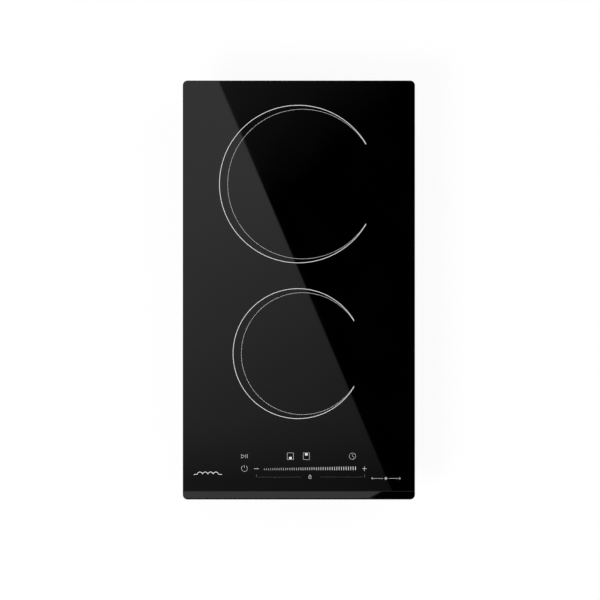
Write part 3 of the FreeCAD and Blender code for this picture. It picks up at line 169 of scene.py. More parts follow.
def relief(tree, shader, height, depth_mm, strength=1.0):
    """Raise the surface by a pattern of a real depth."""
    bump = add(tree, "ShaderNodeBump", {"Strength": strength, "Distance": depth_mm * MM},
               {"Height": height})
    tree.links.new(bump.outputs[0], shader.inputs["Normal"])


# ---- finishes: each is named for what the real one is and how its surface was made

def float_polished_black_glass():
    """Black glass-ceramic, float polished: mirror clear with the faintest wiping haze, and dull
    where the edges are ground."""
    material, tree, shader, place = surface("float_polished_black_glass_ceramic", IOR=1.5)
    haze = patches(tree, place, 60, detail=2)
    shade(tree, shader, haze, "#000001", "#010101")
    facing = add(tree, "ShaderNodeSeparateXYZ", {},
                 {"Vector": add(tree, "ShaderNodeNewGeometry").outputs["Normal"]})
    tilted = add(tree, "ShaderNodeMath", {"operation": "LESS_THAN", 1: GROUND_TILT},
                 {0: facing.outputs["Z"]})
    along = add(tree, "ShaderNodeSeparateXYZ", {}, {"Vector": place})
    lip = add(tree, "ShaderNodeMath", {"operation": "LESS_THAN", 1: FRONT + GROUND_LIP},
              {0: along.outputs["Y"]})
    ground = add(tree, "ShaderNodeMath", {"operation": "MAXIMUM"},
                 {0: tilted.outputs[0], 1: lip.outputs[0]}).outputs[0]
    polish = add(tree, "ShaderNodeMapRange", {"To Min": 0.012, "To Max": 0.03}, {"Value": haze})
    rough = add(tree, "ShaderNodeMix", {"data_type": "FLOAT", 3: 0.35},
                {0: ground, 2: polish.outputs[0]})
    tree.links.new(rough.outputs[0], shader.inputs["Roughness"])
    mirror = add(tree, "ShaderNodeMapRange", {"To Min": 0.5, "To Max": 0.12}, {"Value": ground})
    tree.links.new(mirror.outputs[0], shader.inputs["Specular IOR Level"])
    return material


def screen_printed_enamel(name, ink):
    """Fired enamel ink, screen printed: matt, with the mesh just felt in it."""
    material, tree, shader, place = surface(name, IOR=1.52)
    mesh = patches(tree, place, 0.4)
    shade(tree, shader, mesh, [part * 0.93 for part in ink], ink)
    gloss(tree, shader, mesh, 0.45, 0.6)
    relief(tree, shader, mesh, 0.004, 0.5)
    return material


def galvanised_sheet():
    """Hot-dip galvanised steel sheet: grey zinc with crystal spangle about 6 mm across."""
    material, tree, shader, place = surface("hot_dip_galvanised_steel_sheet", Metallic=1.0)
    spangle = add(tree, "ShaderNodeTexVoronoi", {"Scale": 1000 / 6, "Randomness": 1.0},
                  {"Vector": place})
    crystal = add(tree, "ShaderNodeSeparateColor", {}, {"Color": spangle.outputs["Color"]})
    shade(tree, shader, crystal.outputs["Red"], "#AAAFB2", "#BCC0C3", 0.1, 0.9)
    polish = add(tree, "ShaderNodeMapRange", {"To Min": 0.34, "To Max": 0.44},
                 {"Value": crystal.outputs["Green"]})
    tree.links.new(polish.outputs[0], shader.inputs["Roughness"])
    relief(tree, shader, patches(tree, place, 3), 0.02, 0.35)
    return material


def zinc_plated_screw():
    """Bright zinc plate over a cold-headed screw: pale, slightly blue, smooth."""
    material, tree, shader, place = surface("zinc_plated_screw_steel", Metallic=1.0)
    cloud = patches(tree, place, 1.5)
    shade(tree, shader, cloud, "#AEB4BA", "#C6CACD")
    gloss(tree, shader, cloud, 0.22, 0.36)
    return material


def hardened_spring_steel():
    """Tempered spring strip and wire: darker steel with a draw grain along its length."""
    material, tree, shader, place = surface("tempered_spring_steel", Metallic=1.0)
    grain = patches(tree, place, 0.35, (1, 1, 0.08))
    shade(tree, shader, grain, "#7F8387", "#9EA2A5")
    gloss(tree, shader, grain, 0.24, 0.4)
    relief(tree, shader, grain, 0.006, 0.5)
    return material


def rolled_aluminium():
    """Mill-finish aluminium sheet: pale, with fine rolling lines along the sheet."""
    material, tree, shader, place = surface("mill_finish_aluminium_sheet", Metallic=1.0)
    lines = patches(tree, place, 0.5, (1, 0.03, 1))
    shade(tree, shader, lines, "#C4C7CA", "#D8DADC")
    gloss(tree, shader, lines, 0.28, 0.42)
    relief(tree, shader, lines, 0.004, 0.4)
    return material


def extruded_aluminium():
    """Extruded aluminium: die lines that run along the fins."""
    material, tree, shader, place = surface("extruded_aluminium_profile", Metallic=1.0)
    lines = patches(tree, place, 0.8, (1, 0.02, 1))
    shade(tree, shader, lines, "#BFC3C6", "#D0D3D5")
    gloss(tree, shader, lines, 0.34, 0.5)
    relief(tree, shader, lines, 0.01, 0.5)
    return material


def closed_cell_foam():
    """Black closed-cell foam strip: dead matt, with pores of half a millimetre."""
    material, tree, shader, place = surface("closed_cell_foam_strip", Roughness=0.95)
    pores = add(tree, "ShaderNodeTexVoronoi", {"Scale": 1000 / 0.5}, {"Vector": place})
    shade(tree, shader, pores.outputs["Distance"], "#141414", "#262626", 0.0, 0.5)
    relief(tree, shader, pores.outputs["Distance"], 0.08, 0.6)
    return material


def tooled_silicone():
    """Black silicone bead, tooled: soft gloss and slow waves."""
    material, tree, shader, place = surface("tooled_silicone_bead", Roughness=0.42, IOR=1.41)
    waves = patches(tree, place, 7)
    shade(tree, shader, waves, "#0E0E0F", "#19191A")
    relief(tree, shader, waves, 0.1, 0.5)
    return material


def split_mica():
    """Pressed mica sheet: pale buff with flakes that catch the light."""
    material, tree, shader, place = surface("pressed_mica_sheet", IOR=1.58)
    flakes = add(tree, "ShaderNodeTexVoronoi", {"Scale": 1000 / 2.5}, {"Vector": place})
    tone = add(tree, "ShaderNodeSeparateColor", {}, {"Color": flakes.outputs["Color"]})
    shade(tree, shader, tone.outputs["Blue"], "#A79E87", "#CFC8B4", 0.0, 1.0)
    gloss(tree, shader, tone.outputs["Red"], 0.25, 0.5)
    return material


def litz_bundle():
    """Varnished copper litz: fine strands laid at a slant, in a bundle 2.6 mm thick."""
    material, tree, shader, place = surface("varnished_copper_litz", Metallic=1.0)
    strands = add(tree, "ShaderNodeTexWave", {"Scale": 1000 / 1.2, "Distortion": 1.5,
                                              "Detail": 1.0, "bands_direction": "DIAGONAL"},
                  {"Vector": place})
    shade(tree, shader, strands.outputs["Fac"], "#7A3B1E", "#C9764A", 0.1, 0.9)
    gloss(tree, shader, strands.outputs["Fac"], 0.32, 0.5)
    relief(tree, shader, strands.outputs["Fac"], 0.12, 0.7)
    return material


def moulded(name, low, high, rough, grain_mm=0.3, depth_mm=0.015):
    """A moulded plastic: the grain of its tool and a slow drift of shade."""
    material, tree, shader, place = surface(name, IOR=1.53)
    shade(tree, shader, patches(tree, place, 25, detail=2), low, high)
    grain = patches(tree, place, grain_mm)
    gloss(tree, shader, grain, rough - 0.06, rough + 0.06)
    relief(tree, shader, grain, depth_mm, 0.5)
    return material


def pressed_ferrite():
    """Pressed and sintered ferrite: charcoal, matt, with fine pits."""
    material, tree, shader, place = surface("sintered_ferrite", IOR=1.9)
    pits = patches(tree, place, 0.7)
    shade(tree, shader, pits, "#232427", "#36373A")
    gloss(tree, shader, pits, 0.55, 0.75)
    relief(tree, shader, pits, 0.03, 0.6)
    return material


def fired_steatite():
    """Fired white steatite: chalky and smooth."""
    material, tree, shader, place = surface("fired_steatite_ceramic", IOR=1.6)
    grain = patches(tree, place, 0.6)
    shade(tree, shader, grain, "#D8D5CB", "#E6E3DA")
    gloss(tree, shader, grain, 0.4, 0.55)
    return material


def braided_glass_sleeve():
    """Braided glass-fibre sleeve: cream yarns that cross every 0.8 mm."""
    material, tree, shader, place = surface("braided_glass_fibre_sleeve", Roughness=0.75)
    braid = add(tree, "ShaderNodeTexWave", {"Scale": 1000 / 2.4, "bands_direction": "DIAGONAL",
                                            "Distortion": 2.0}, {"Vector": place})
    shade(tree, shader, braid.outputs["Fac"], "#B9B29C", "#DCD6C4", 0.0, 1.0)
    relief(tree, shader, braid.outputs["Fac"], 0.12, 0.8)
    return material


def laminated_steel():
    """Stacked motor laminations: dark edges every 0.5 mm."""
    material, tree, shader, place = surface("stacked_motor_laminations", Metallic=0.9)
    layers = add(tree, "ShaderNodeTexWave", {"Scale": 1000 / 3.1, "bands_direction": "Z"},
                 {"Vector": place})
    shade(tree, shader, layers.outputs["Fac"], "#57524A", "#8B867D", 0.2, 0.8)
    gloss(tree, shader, layers.outputs["Fac"], 0.4, 0.55)
    relief(tree, shader, layers.outputs["Fac"], 0.05, 0.5)
    return material


def sintered_bronze():
    """Oil-filled sintered bronze and brass fittings: warm, speckled metal."""
    material, tree, shader, place = surface("sintered_bronze", Metallic=1.0)
    speckle = patches(tree, place, 0.5)
    shade(tree, shader, speckle, "#8C6A38", "#C29A57")
    gloss(tree, shader, speckle, 0.3, 0.45)
    return material


def solder_masked_board():
    """Glass-epoxy circuit board: green solder mask over copper tracks."""
    material, tree, shader, place = surface("solder_masked_circuit_board", IOR=1.5)
    tracks = add(tree, "ShaderNodeTexBrick",
                 {"Scale": 1000 / 18, "Color1": opaque("#0E4A26"), "Color2": opaque("#125A2F"),
                  "Mortar": opaque("#1C7A42"), "Mortar Size": 0.03, "Row Height": 0.2},
                 {"Vector": place})
    tree.links.new(tracks.outputs["Color"], shader.inputs["Base Color"])
    gloss(tree, shader, patches(tree, place, 6), 0.25, 0.4)
    relief(tree, shader, tracks.outputs["Fac"], 0.035, 0.6)
    return material


def enamelled_wire():
    """Enamelled copper wire, wound: glossy amber over copper."""
    material, tree, shader, place = surface("enamelled_copper_wire", Metallic=0.85)
    drift = patches(tree, place, 2)
    shade(tree, shader, drift, "#8E4520", "#B9622F")
    gloss(tree, shader, drift, 0.18, 0.3)
    return material


def grey_ribbon():
    """Flat grey PVC ribbon: ridges over cores 1.27 mm apart."""
    material, tree, shader, place = surface("flat_ribbon_pvc", Roughness=0.45)
    cores = add(tree, "ShaderNodeTexWave", {"Scale": 1000 / (1.27 * 2), "bands_direction": "X"},
                {"Vector": place})
    shade(tree, shader, cores.outputs["Fac"], "#8A8C90", "#A9ABAE", 0.0, 1.0)
    relief(tree, shader, cores.outputs["Fac"], 0.2, 0.8)
    return material


def smoked_display():
    """Smoked acrylic display face over red segments: near black and glossy."""
    material, tree, shader, place = surface("smoked_acrylic_display", IOR=1.49)
    depth = patches(tree, place, 3)
    shade(tree, shader, depth, "#170506", "#240809")
    gloss(tree, shader, depth, 0.1, 0.18)
    return material


def finishes():
    """Every finish, by the CAD nodes that carry it."""
    zinc, spring, sheet = zinc_plated_screw(), hardened_spring_steel(), galvanised_sheet()
    aluminium, ferrite, board = rolled_aluminium(), pressed_ferrite(), solder_masked_board()
    bronze, enamelled = sintered_bronze(), enamelled_wire()
    nylon = moulded("glass_filled_black_nylon", "#131315", "#1C1C1E", 0.5, 0.5, 0.03)
    fan_plastic = moulded("moulded_black_fan_plastic", "#0F0F10", "#171718", 0.42)
    epoxy = moulded("moulded_epoxy_package", "#101011", "#19191A", 0.55, 0.2)
    white_nylon = moulded("natural_nylon_connector", "#D6D2C4", "#E2DFD3", 0.4)
    shell = moulded("moulded_white_terminal_plastic", "#D9D8D3", "#E4E3DF", 0.45, 0.8, 0.03)
    holder = moulded("moulded_grey_holder_plastic", "#B7B8B8", "#C6C7C6", 0.48, 0.8, 0.03)
    table = {
        "glass_top": float_polished_black_glass(), "worktop_gasket": closed_cell_foam(),
        "glass_adhesive": tooled_silicone(), "glass_frame": sheet, "bottom_tray": sheet,
        "clip_brackets": sheet, "coil_deck": aluminium, "heat_sink": extruded_aluminium(),
        "frame_screws": zinc, "deck_screws": zinc, "guide_studs": zinc, "board_screws": zinc,
        "board_standoffs": zinc, "floor_screws": zinc, "touch_springs": spring,
        "side_clip_right_rear": spring, "side_clip_right_front": spring,
        "side_clip_left_rear": spring, "side_clip_left_front": spring,
        "fan_frame": fan_plastic, "fan_rotor": fan_plastic, "fan_stator": laminated_steel(),
        "fan_bearing": bronze, "terminal_screws": bronze, "power_board": board,
        "touch_board": board, "power_transistors": epoxy, "bridge_rectifier": epoxy,
        "film_capacitors": moulded("red_film_capacitor_case", "#7E1A15", "#95231C", 0.35),
        "electrolytic_capacitors": moulded("shrink_sleeved_can", "#131B33", "#1B2645", 0.3),
        "input_choke": enamelled, "pulse_transformer": ferrite,
        "board_connectors": white_nylon, "terminal_block": white_nylon,
        "ribbon_cable": grey_ribbon(), "display_modules": smoked_display(),
        "fan_lead": moulded("black_pvc_lead", "#101010", "#1B1B1B", 0.4),
        "mains_leads": moulded("brown_pvc_lead", "#3B2114", "#4A2B1B", 0.4),
        "touch_board_holder": holder, "terminal_box": shell, "terminal_lid": shell,
        "cable_gland": moulded("moulded_epdm_gland", "#121212", "#1E1E1E", 0.7, 0.3),
    }
    mica, litz = split_mica(), litz_bundle()
    steatite, sleeve = fired_steatite(), braided_glass_sleeve()
    for zone in ("rear", "front"):
        table.update({
            "mica_" + zone: mica, "winding_" + zone: litz, "carrier_" + zone: nylon,
            "ferrites_" + zone: ferrite, "coil_plate_" + zone: aluminium,
            "coil_springs_" + zone: spring, "sensor_" + zone: steatite,
            "sensor_spring_" + zone: spring, "coil_leads_" + zone: sleeve})
    return table


def find_or_make(maker, name):
    """The finish of that name, made by its maker if it isn't there yet."""
    return bpy.data.materials.get(name) or maker()


# ---- making pieces by hand tools

def clear_selection():
    """Leave edit mode if need be, and select nothing."""
    if bpy.context.mode != "OBJECT":
        bpy.ops.object.mode_set(mode="OBJECT")
    bpy.ops.object.select_all(action="DESELECT")


def edit():
    """Go into edit mode on the active object."""
    bpy.ops.object.mode_set(mode="EDIT")


def leave():
    """Go back to object mode."""
    bpy.ops.object.mode_set(mode="OBJECT")


def pick(test):
    """In edit mode, select the vertices whose place passes a test, and nothing else."""
    bpy.ops.mesh.select_mode(type="VERT")
    bpy.ops.mesh.select_all(action="DESELECT")
    data = bpy.context.object.data
    mesh = bmesh.from_edit_mesh(data)
    for vertex in mesh.verts:
        vertex.select_set(test(vertex.co))
    mesh.select_flush_mode()
    bmesh.update_edit_mesh(data)


def hollow(stroke):
    """In edit mode, turn the selected flat face into an outline of that stroke."""
    bpy.ops.mesh.select_mode(type="FACE")
    bpy.ops.mesh.select_all(action="SELECT")
    bpy.ops.mesh.inset(thickness=stroke, depth=0)
    bpy.ops.mesh.delete(type="FACE")


def settle(x, y, z):
    """Put the active object's mesh at its place and leave its origin at zero."""
    made = bpy.context.object
    made.location = (x, y, z)
    bpy.ops.object.transform_apply(location=True, rotation=True, scale=True)
    return made


def bar(x, y, width, height, turn=0.0):
    """A flat bar, in millimetres and degrees."""
    clear_selection()
    bpy.ops.mesh.primitive_plane_add(size=1, location=(0, 0, 0))
    edit()
    bpy.ops.transform.resize(value=(width * MM, height * MM, 1))
    leave()
    bpy.context.object.rotation_euler.z = math.radians(turn)
    return settle(x * MM, y * MM, 0)


def disc(x, y, radius, sides=16):
    """A flat round dot, in millimetres."""
    clear_selection()
    bpy.ops.mesh.primitive_circle_add(vertices=sides, radius=radius * MM, fill_type="NGON")
    return settle(x * MM, y * MM, 0)


def ring(x, y, radius, stroke, steps=72, squeeze=(1, 1), gap=None, turn=0.0):
    """A printed ring or oval; gap is the middle and half width, in degrees, left open."""
    clear_selection()
    bpy.ops.mesh.primitive_circle_add(vertices=steps, radius=radius * MM, fill_type="NGON")
    edit()
    bpy.ops.transform.resize(value=(squeeze[0], squeeze[1], 1))
    hollow(stroke * MM)
    if gap:
        middle, half = (math.radians(part) for part in gap)

        def inside(spot):
            away = math.atan2(spot.y, spot.x) - middle
            return abs(math.atan2(math.sin(away), math.cos(away))) < half
        pick(inside)
        bpy.ops.mesh.delete(type="VERT")
    leave()
    bpy.context.object.rotation_euler.z = math.radians(turn)
    return settle(x * MM, y * MM, 0)


def frame_mark(x, y, width, height, corner, stroke):
    """A rounded rectangle in outline."""
    clear_selection()
    bpy.ops.mesh.primitive_plane_add(size=1)
    edit()
    bpy.ops.transform.resize(value=(width * MM, height * MM, 1))
    bpy.ops.mesh.select_all(action="SELECT")
    bpy.ops.mesh.bevel(offset=corner * MM, segments=5, affect="VERTICES")
    if stroke:
        hollow(stroke * MM)
    leave()
    return settle(x * MM, y * MM, 0)


def triangle(x, y, size, stroke):
    """A play triangle in outline, pointing right."""
    clear_selection()
    bpy.ops.mesh.primitive_circle_add(vertices=3, radius=size * MM, fill_type="NGON")
    edit()
    hollow(stroke * MM)
    leave()
    bpy.context.object.rotation_euler.z = math.radians(-90)
    return settle(x * MM, y * MM, 0)


def join_named(name, parts):
    """Join parts into one object with a name; an empty result is refused."""
    clear_selection()
    for part in parts:
        part.select_set(True)
    bpy.context.view_layer.objects.active = parts[0]
    if len(parts) > 1:
        bpy.ops.object.join()
    made = bpy.context.object
    if not made.data.polygons:
        raise RuntimeError(name + " has no faces")
    made.name = name
    return made


def ink_of(kind):
    """The white ink, or the thinner grey one of the guide dots."""
    name = "screen_printed_%s_enamel" % kind
    ink = getattr(bpy.context.scene.hob_colours, kind + "_ink")
    return bpy.data.materials.get(name) or screen_printed_enamel(name, ink)


def print_together(name, parts, ink="white"):
    """Join flat marks, give them the thickness of fired ink and lay them on the glass."""
    made = join_named(name, parts)
    depth = made.modifiers.new("depth", "SOLIDIFY")
    depth.thickness = bpy.context.scene.hob_sizes.ink_depth
    depth.offset = 1.0
    bpy.ops.object.modifier_apply(modifier="depth")
    made.location.z = GLASS_TOP + 0.01 * MM
    bpy.ops.object.transform_apply(location=True, rotation=True, scale=True)
    edit()
    bpy.ops.mesh.select_all(action="SELECT")
    bpy.ops.mesh.normals_make_consistent(inside=False)
    leave()
    made.data.materials.clear()
    made.data.materials.append(ink_of(ink))
    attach(made, "hob")
    return made


def wire_spring(x, y, low, high, radius, wire, turns):
    """A round-wire compression spring turned about its own axis."""
    clear_selection()
    bpy.ops.mesh.primitive_circle_add(vertices=10, radius=wire, fill_type="NOTHING")
    edit()
    bpy.ops.mesh.select_all(action="SELECT")
    bpy.ops.transform.rotate(value=math.pi / 2, orient_axis="X", center_override=(0, 0, 0))
    bpy.ops.transform.translate(value=(radius, 0, wire + 0.05 * MM))
    leave()
    made = bpy.context.object
    coil = made.modifiers.new("coil", "SCREW")
    coil.angle = 2 * math.pi * turns
    coil.screw_offset = high - low - 2 * wire - 0.1 * MM
    coil.steps = coil.render_steps = int(26 * turns)
    coil.use_merge_vertices = False
    bpy.ops.object.modifier_apply(modifier="coil")
    edit()
    bpy.ops.mesh.select_mode(type="EDGE")
    bpy.ops.mesh.select_all(action="DESELECT")
    bpy.ops.mesh.select_non_manifold()
    bpy.ops.mesh.edge_face_add()
    bpy.ops.mesh.select_all(action="SELECT")
    bpy.ops.mesh.normals_make_consistent(inside=False)
    leave()
    bpy.ops.object.shade_smooth_by_angle(angle=math.radians(50))
    return settle(x, y, low)


# ---- settings

def length(name, description, mm, least, most):
    """A length property given in millimetres."""
    return bpy.props.FloatProperty(name=name, description=description, default=mm * MM,
                                   min=least * MM, max=most * MM, precision=5,
                                   subtype="DISTANCE", unit="LENGTH")


def colour(name, description, text):
    """A colour property given as sRGB hex."""
    return bpy.props.FloatVectorProperty(name=name, description=description, subtype="COLOR",
                                         size=3, default=linear(text), min=0.0, max=1.0)


class HobSizes(bpy.types.PropertyGroup):
    """Sizes of the prints that a user would change"""
    rear_zone: length("Rear zone", "Radius of the rear zone's outer line", 98.0, 50, 120)
    front_zone: length("Front zone", "Radius of the front zone's outer line", 80.9, 50, 120)
    zone_step: length("Crescent", "From the outer line to the inner one on the left", 10.4, 2, 20)
    outer_line: length("Outer line", "Printed width of a zone's outer line", 0.62, 0.2, 3)
    inner_line: length("Inner line", "Printed width of a zone's inner line", 0.24, 0.1, 3)
    symbol_line: length("Symbol line", "Printed width of the key symbols' lines", 0.25, 0.1, 3)
    ink_depth: length("Ink depth", "Thickness of the fired ink", 0.03, 0.01, 0.2)
    slider_bars: bpy.props.IntProperty(name="Slider bars", description="Bars on the power slider",
                                       default=42, min=5, max=80)


class HobColours(bpy.types.PropertyGroup):
    """Colours of the inks and the floor"""
    white_ink: colour("White ink", "Ink of the zones, symbols and slider", "#EAEAE8")
    grey_ink: colour("Grey ink", "Ink of the guide dots", "#888886")
    floor: colour("Floor", "Colour of the studio floor", "#FCFCFC")


# ---- operators

class HOB_OT_zone_marks(bpy.types.Operator):
    """Print the two cooking zones, each a crescent of two lines that is open to the right"""
    bl_idname = "hob.zone_marks"
    bl_label = "Zone marks"

    def execute(self, context):
        sizes = context.scene.hob_sizes
        step = sizes.zone_step / MM / 2 + 0.05
        marks = (("rear", -0.8, 131.5, sizes.rear_zone / MM, 83.2),
                 ("front", -1.0, -78.8, sizes.front_zone / MM, 68.3))
        for zone, x, y, radius, end in marks:
            parts = [ring(x, y, radius, sizes.outer_line / MM, 256),
                     ring(x + step, y, radius - step + 0.1, sizes.inner_line / MM, 256)]
            for part in parts:
                clear_selection()
                part.select_set(True)
                context.view_layer.objects.active = part
                edit()
                bpy.ops.mesh.select_all(action="SELECT")
                bpy.ops.mesh.bisect(plane_co=(end * MM, 0, 0), plane_no=(1, 0, 0),
                                    clear_outer=True)
                leave()
            print_together("zone_mark_" + zone, parts)
        return {"FINISHED"}


def play_pause(x, y, line):
    """A play triangle beside two pause bars."""
    return [triangle(x - 2.4, y, 3.0, line), bar(x + 1.7, y, line * 1.2, 4.8),
            bar(x + 3.7, y, line * 1.2, 4.8)]


def power(x, y, line):
    """A ring open at the top, with a stroke in the gap."""
    return [ring(x, y - 0.2, 3.8, line, 64, gap=(90, 32)), bar(x, y + 2.2, line, 4.0)]


def minus(x, y, line):
    """One bar."""
    return [bar(x, y, 6.0, line * 1.6)]


def plus(x, y, line):
    """A bar with an arm above and below it, so that no two marks overlap."""
    wide = line * 1.4
    arm = (5.6 - wide) / 2
    return [bar(x, y, 5.6, wide)] + [bar(x, y + way * (wide + arm) / 2, wide, arm)
                                     for way in (-1, 1)]


def zone_key(x, y, line, rear):
    """A small hob in outline, with the rear or front zone filled."""
    shift = 2.2 if rear else -2.2
    return [frame_mark(x, y, 8.0, 8.5, 0.7, line), bar(x, y + shift, 3.2, 2.6)]


def clock(x, y, line):
    """A round clock face with two hands."""
    return [ring(x, y, 4.05, line, 64), bar(x, y + 1.3, line, 2.8),
            bar(x + 1.0, y - 0.6, 2.4, line, -32)]


def padlock(x, y, line):
    """A padlock: its body, keyhole and shackle."""
    return [frame_mark(x, y - 1.1, 3.4, 2.8, 0.5, line), bar(x, y - 1.1, line, 1.2),
            ring(x, y + 0.8, 1.4, line, 32, squeeze=(0.85, 1.15), gap=(-90, 50))]


def touch_mark(x, y, line):
    """A fingertip that slides both ways along a touch field."""
    parts = [ring(x, y, 1.7, line, 32), bar(x, y, 1.2, 1.2, 45)]
    for way in (-1, 1):
        parts.append(bar(x + way * 10.6, y, 14.0, line))
        parts += [bar(x + way * 17.3, y + side * 0.75, 2.2, line, -way * side * 45)
                  for side in (-1, 1)]
    return parts


def coil_mark(x, y, line):
    """The circuit sign for a coil: four humps in a row between two short leads."""
    wide = line * 2.6
    humps = [ring(x + step * (7.2 - wide), y - 1.8, 3.6, wide, 64, gap=(-90, 90))
             for step in (-1.5, -0.5, 0.5, 1.5)]
    return humps + [bar(x + way * 15.2, y - 1.8 + wide / 2, 4.4, wide) for way in (-1, 1)]


class HOB_OT_key_symbols(bpy.types.Operator):
    """Print the touch keys' symbols and the coil sign"""
    bl_idname = "hob.key_symbols"
    bl_label = "Key symbols"

    def execute(self, context):
        line = context.scene.hob_sizes.symbol_line / MM
        symbols = (
            ("symbol_pause", play_pause(-67.6, KEY_ROW, line)),
            ("symbol_power", power(-67.6, POWER_ROW, line)),
            ("symbol_minus", minus(-52.7, SLIDER_ROW, line)),
            ("symbol_plus", plus(81.4, SLIDER_ROW, line)),
            ("symbol_front_zone", zone_key(-10.5, KEY_ROW, line, False)),
            ("symbol_rear_zone", zone_key(9.3, KEY_ROW, line, True)),
            ("symbol_timer", clock(66.5, KEY_ROW, line)),
            ("symbol_lock", padlock(13.7, BRACKET_ROW + 0.5, line)),
            ("symbol_touch", touch_mark(108.0, TOUCH_SIGN_ROW, line)),
            ("symbol_coil", coil_mark(-112.9, COIL_SIGN_ROW, line)))
        for name, parts in symbols:
            print_together(name, parts)
        return {"FINISHED"}


class HOB_OT_slider_scale(bpy.types.Operator):
    """Print the power slider's growing bars and the dotted bracket below them"""
    bl_idname = "hob.slider_scale"
    bl_label = "Slider scale"

    def execute(self, context):
        count = context.scene.hob_sizes.slider_bars
        parts = []
        for i in range(count):
            part = i / (count - 1)
            tall, wide = 2.2 + 2.4 * part, 0.3 + 0.32 * part
            along = SLIDER_LENGTH * (0.94 * part + 0.06 * part * part)
            parts.append(bar(SLIDER_START + along, SLIDER_FOOT + tall / 2, wide, tall))
        print_together("slider_bars", parts)
        dots = [(x, BRACKET_ROW + step) for x in (BRACKET_LEFT, BRACKET_RIGHT)
                for step in (1.0, 2.0, 3.0)]
        dots += [(BRACKET_LEFT + DOT_STEP * i, BRACKET_ROW) for i in range(22)]
        dots += [(BRACKET_RIGHT - DOT_STEP * i, BRACKET_ROW) for i in range(22)]
        print_together("slider_bracket", [disc(x, y, 0.26, 10) for x, y in dots], ink="grey")
        return {"FINISHED"}


class HOB_OT_springs(bpy.types.Operator):
    """Wind the springs that press the coil units and the glass sensors up to the glass"""
    bl_idname = "hob.springs"
    bl_label = "Springs"

    def execute(self, context):
        steel = find_or_make(hardened_spring_steel, "tempered_spring_steel")
        for zone, circle in (("rear", 60.0), ("front", 46.0)):
            low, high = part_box("coil_plate_" + zone)
            middle_y = (low[1] + high[1]) / 2
            parts = []
            for angle in (22.5, 157.5, 292.5):
                turn = math.radians(angle)
                parts.append(wire_spring(circle * MM * math.cos(turn),
                                         middle_y + circle * MM * math.sin(turn), DECK_TOP,
                                         low[2], radius=3.4 * MM, wire=0.4 * MM, turns=3.5))
            made = join_named("coil_springs_wound_" + zone, parts)
            made.data.materials.append(steel)
            self.seat(made, "coil_springs_" + zone, "coil_press_" + zone, low[2] - DECK_TOP, 3.0)
            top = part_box("sensor_spring_" + zone)[1][2] + 0.05 * MM
            made = wire_spring(0, middle_y, DECK_TOP, top, radius=5.1 * MM, wire=0.3 * MM,
                               turns=6)
            made.name = "sensor_spring_wound_" + zone
            made.data.materials.append(steel)
            self.seat(made, "sensor_spring_" + zone, "sensor_press_" + zone, top - DECK_TOP, 2.0)
        return {"FINISHED"}

    @staticmethod
    def seat(made, node, joint, tall, travel):
        """Put a wound spring in place of its plain node."""
        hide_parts(node)
        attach(made, "hob")
        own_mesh(made)


class HOB_OT_coil_leads(bpy.types.Operator):
    """Sleeve the leads that give as the coil units move"""
    bl_idname = "hob.coil_leads"
    bl_label = "Coil leads"

    def execute(self, context):
        for zone in ("rear", "front"):
            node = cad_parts["coil_leads_" + zone]
            clear_selection()
            made = bpy.data.objects.new("coil_leads_sleeved_" + zone, node.data.copy())
            context.scene.collection.objects.link(made)
            made.select_set(True)
            context.view_layer.objects.active = made
            edit()
            bpy.ops.mesh.select_all(action="SELECT")
            bpy.ops.mesh.remove_doubles(threshold=0.000002)
            bpy.ops.mesh.normals_make_consistent(inside=False)
            leave()
            bpy.ops.object.shade_smooth_by_angle(angle=math.radians(40))
            made.data.materials.clear()
            made.data.materials.append(
                find_or_make(braided_glass_sleeve, "braided_glass_fibre_sleeve"))
            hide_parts("coil_leads_" + zone)
            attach(made, "hob")
            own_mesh(made)
        return {"FINISHED"}


class HOB_OT_frame_finishes(bpy.types.Operator):
    """Give every node of the frame its finish"""
    bl_idname = "hob.frame_finishes"
    bl_label = "Frame finishes"

    def execute(self, context):
        table = finishes()
        for name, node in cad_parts.items():
            if name not in table:
                raise ValueError("no finish for " + name)
            if not node.material_slots:
                node.data.materials.append(table[name])
            for slot in node.material_slots:
                slot.material = table[name]
        return {"FINISHED"}


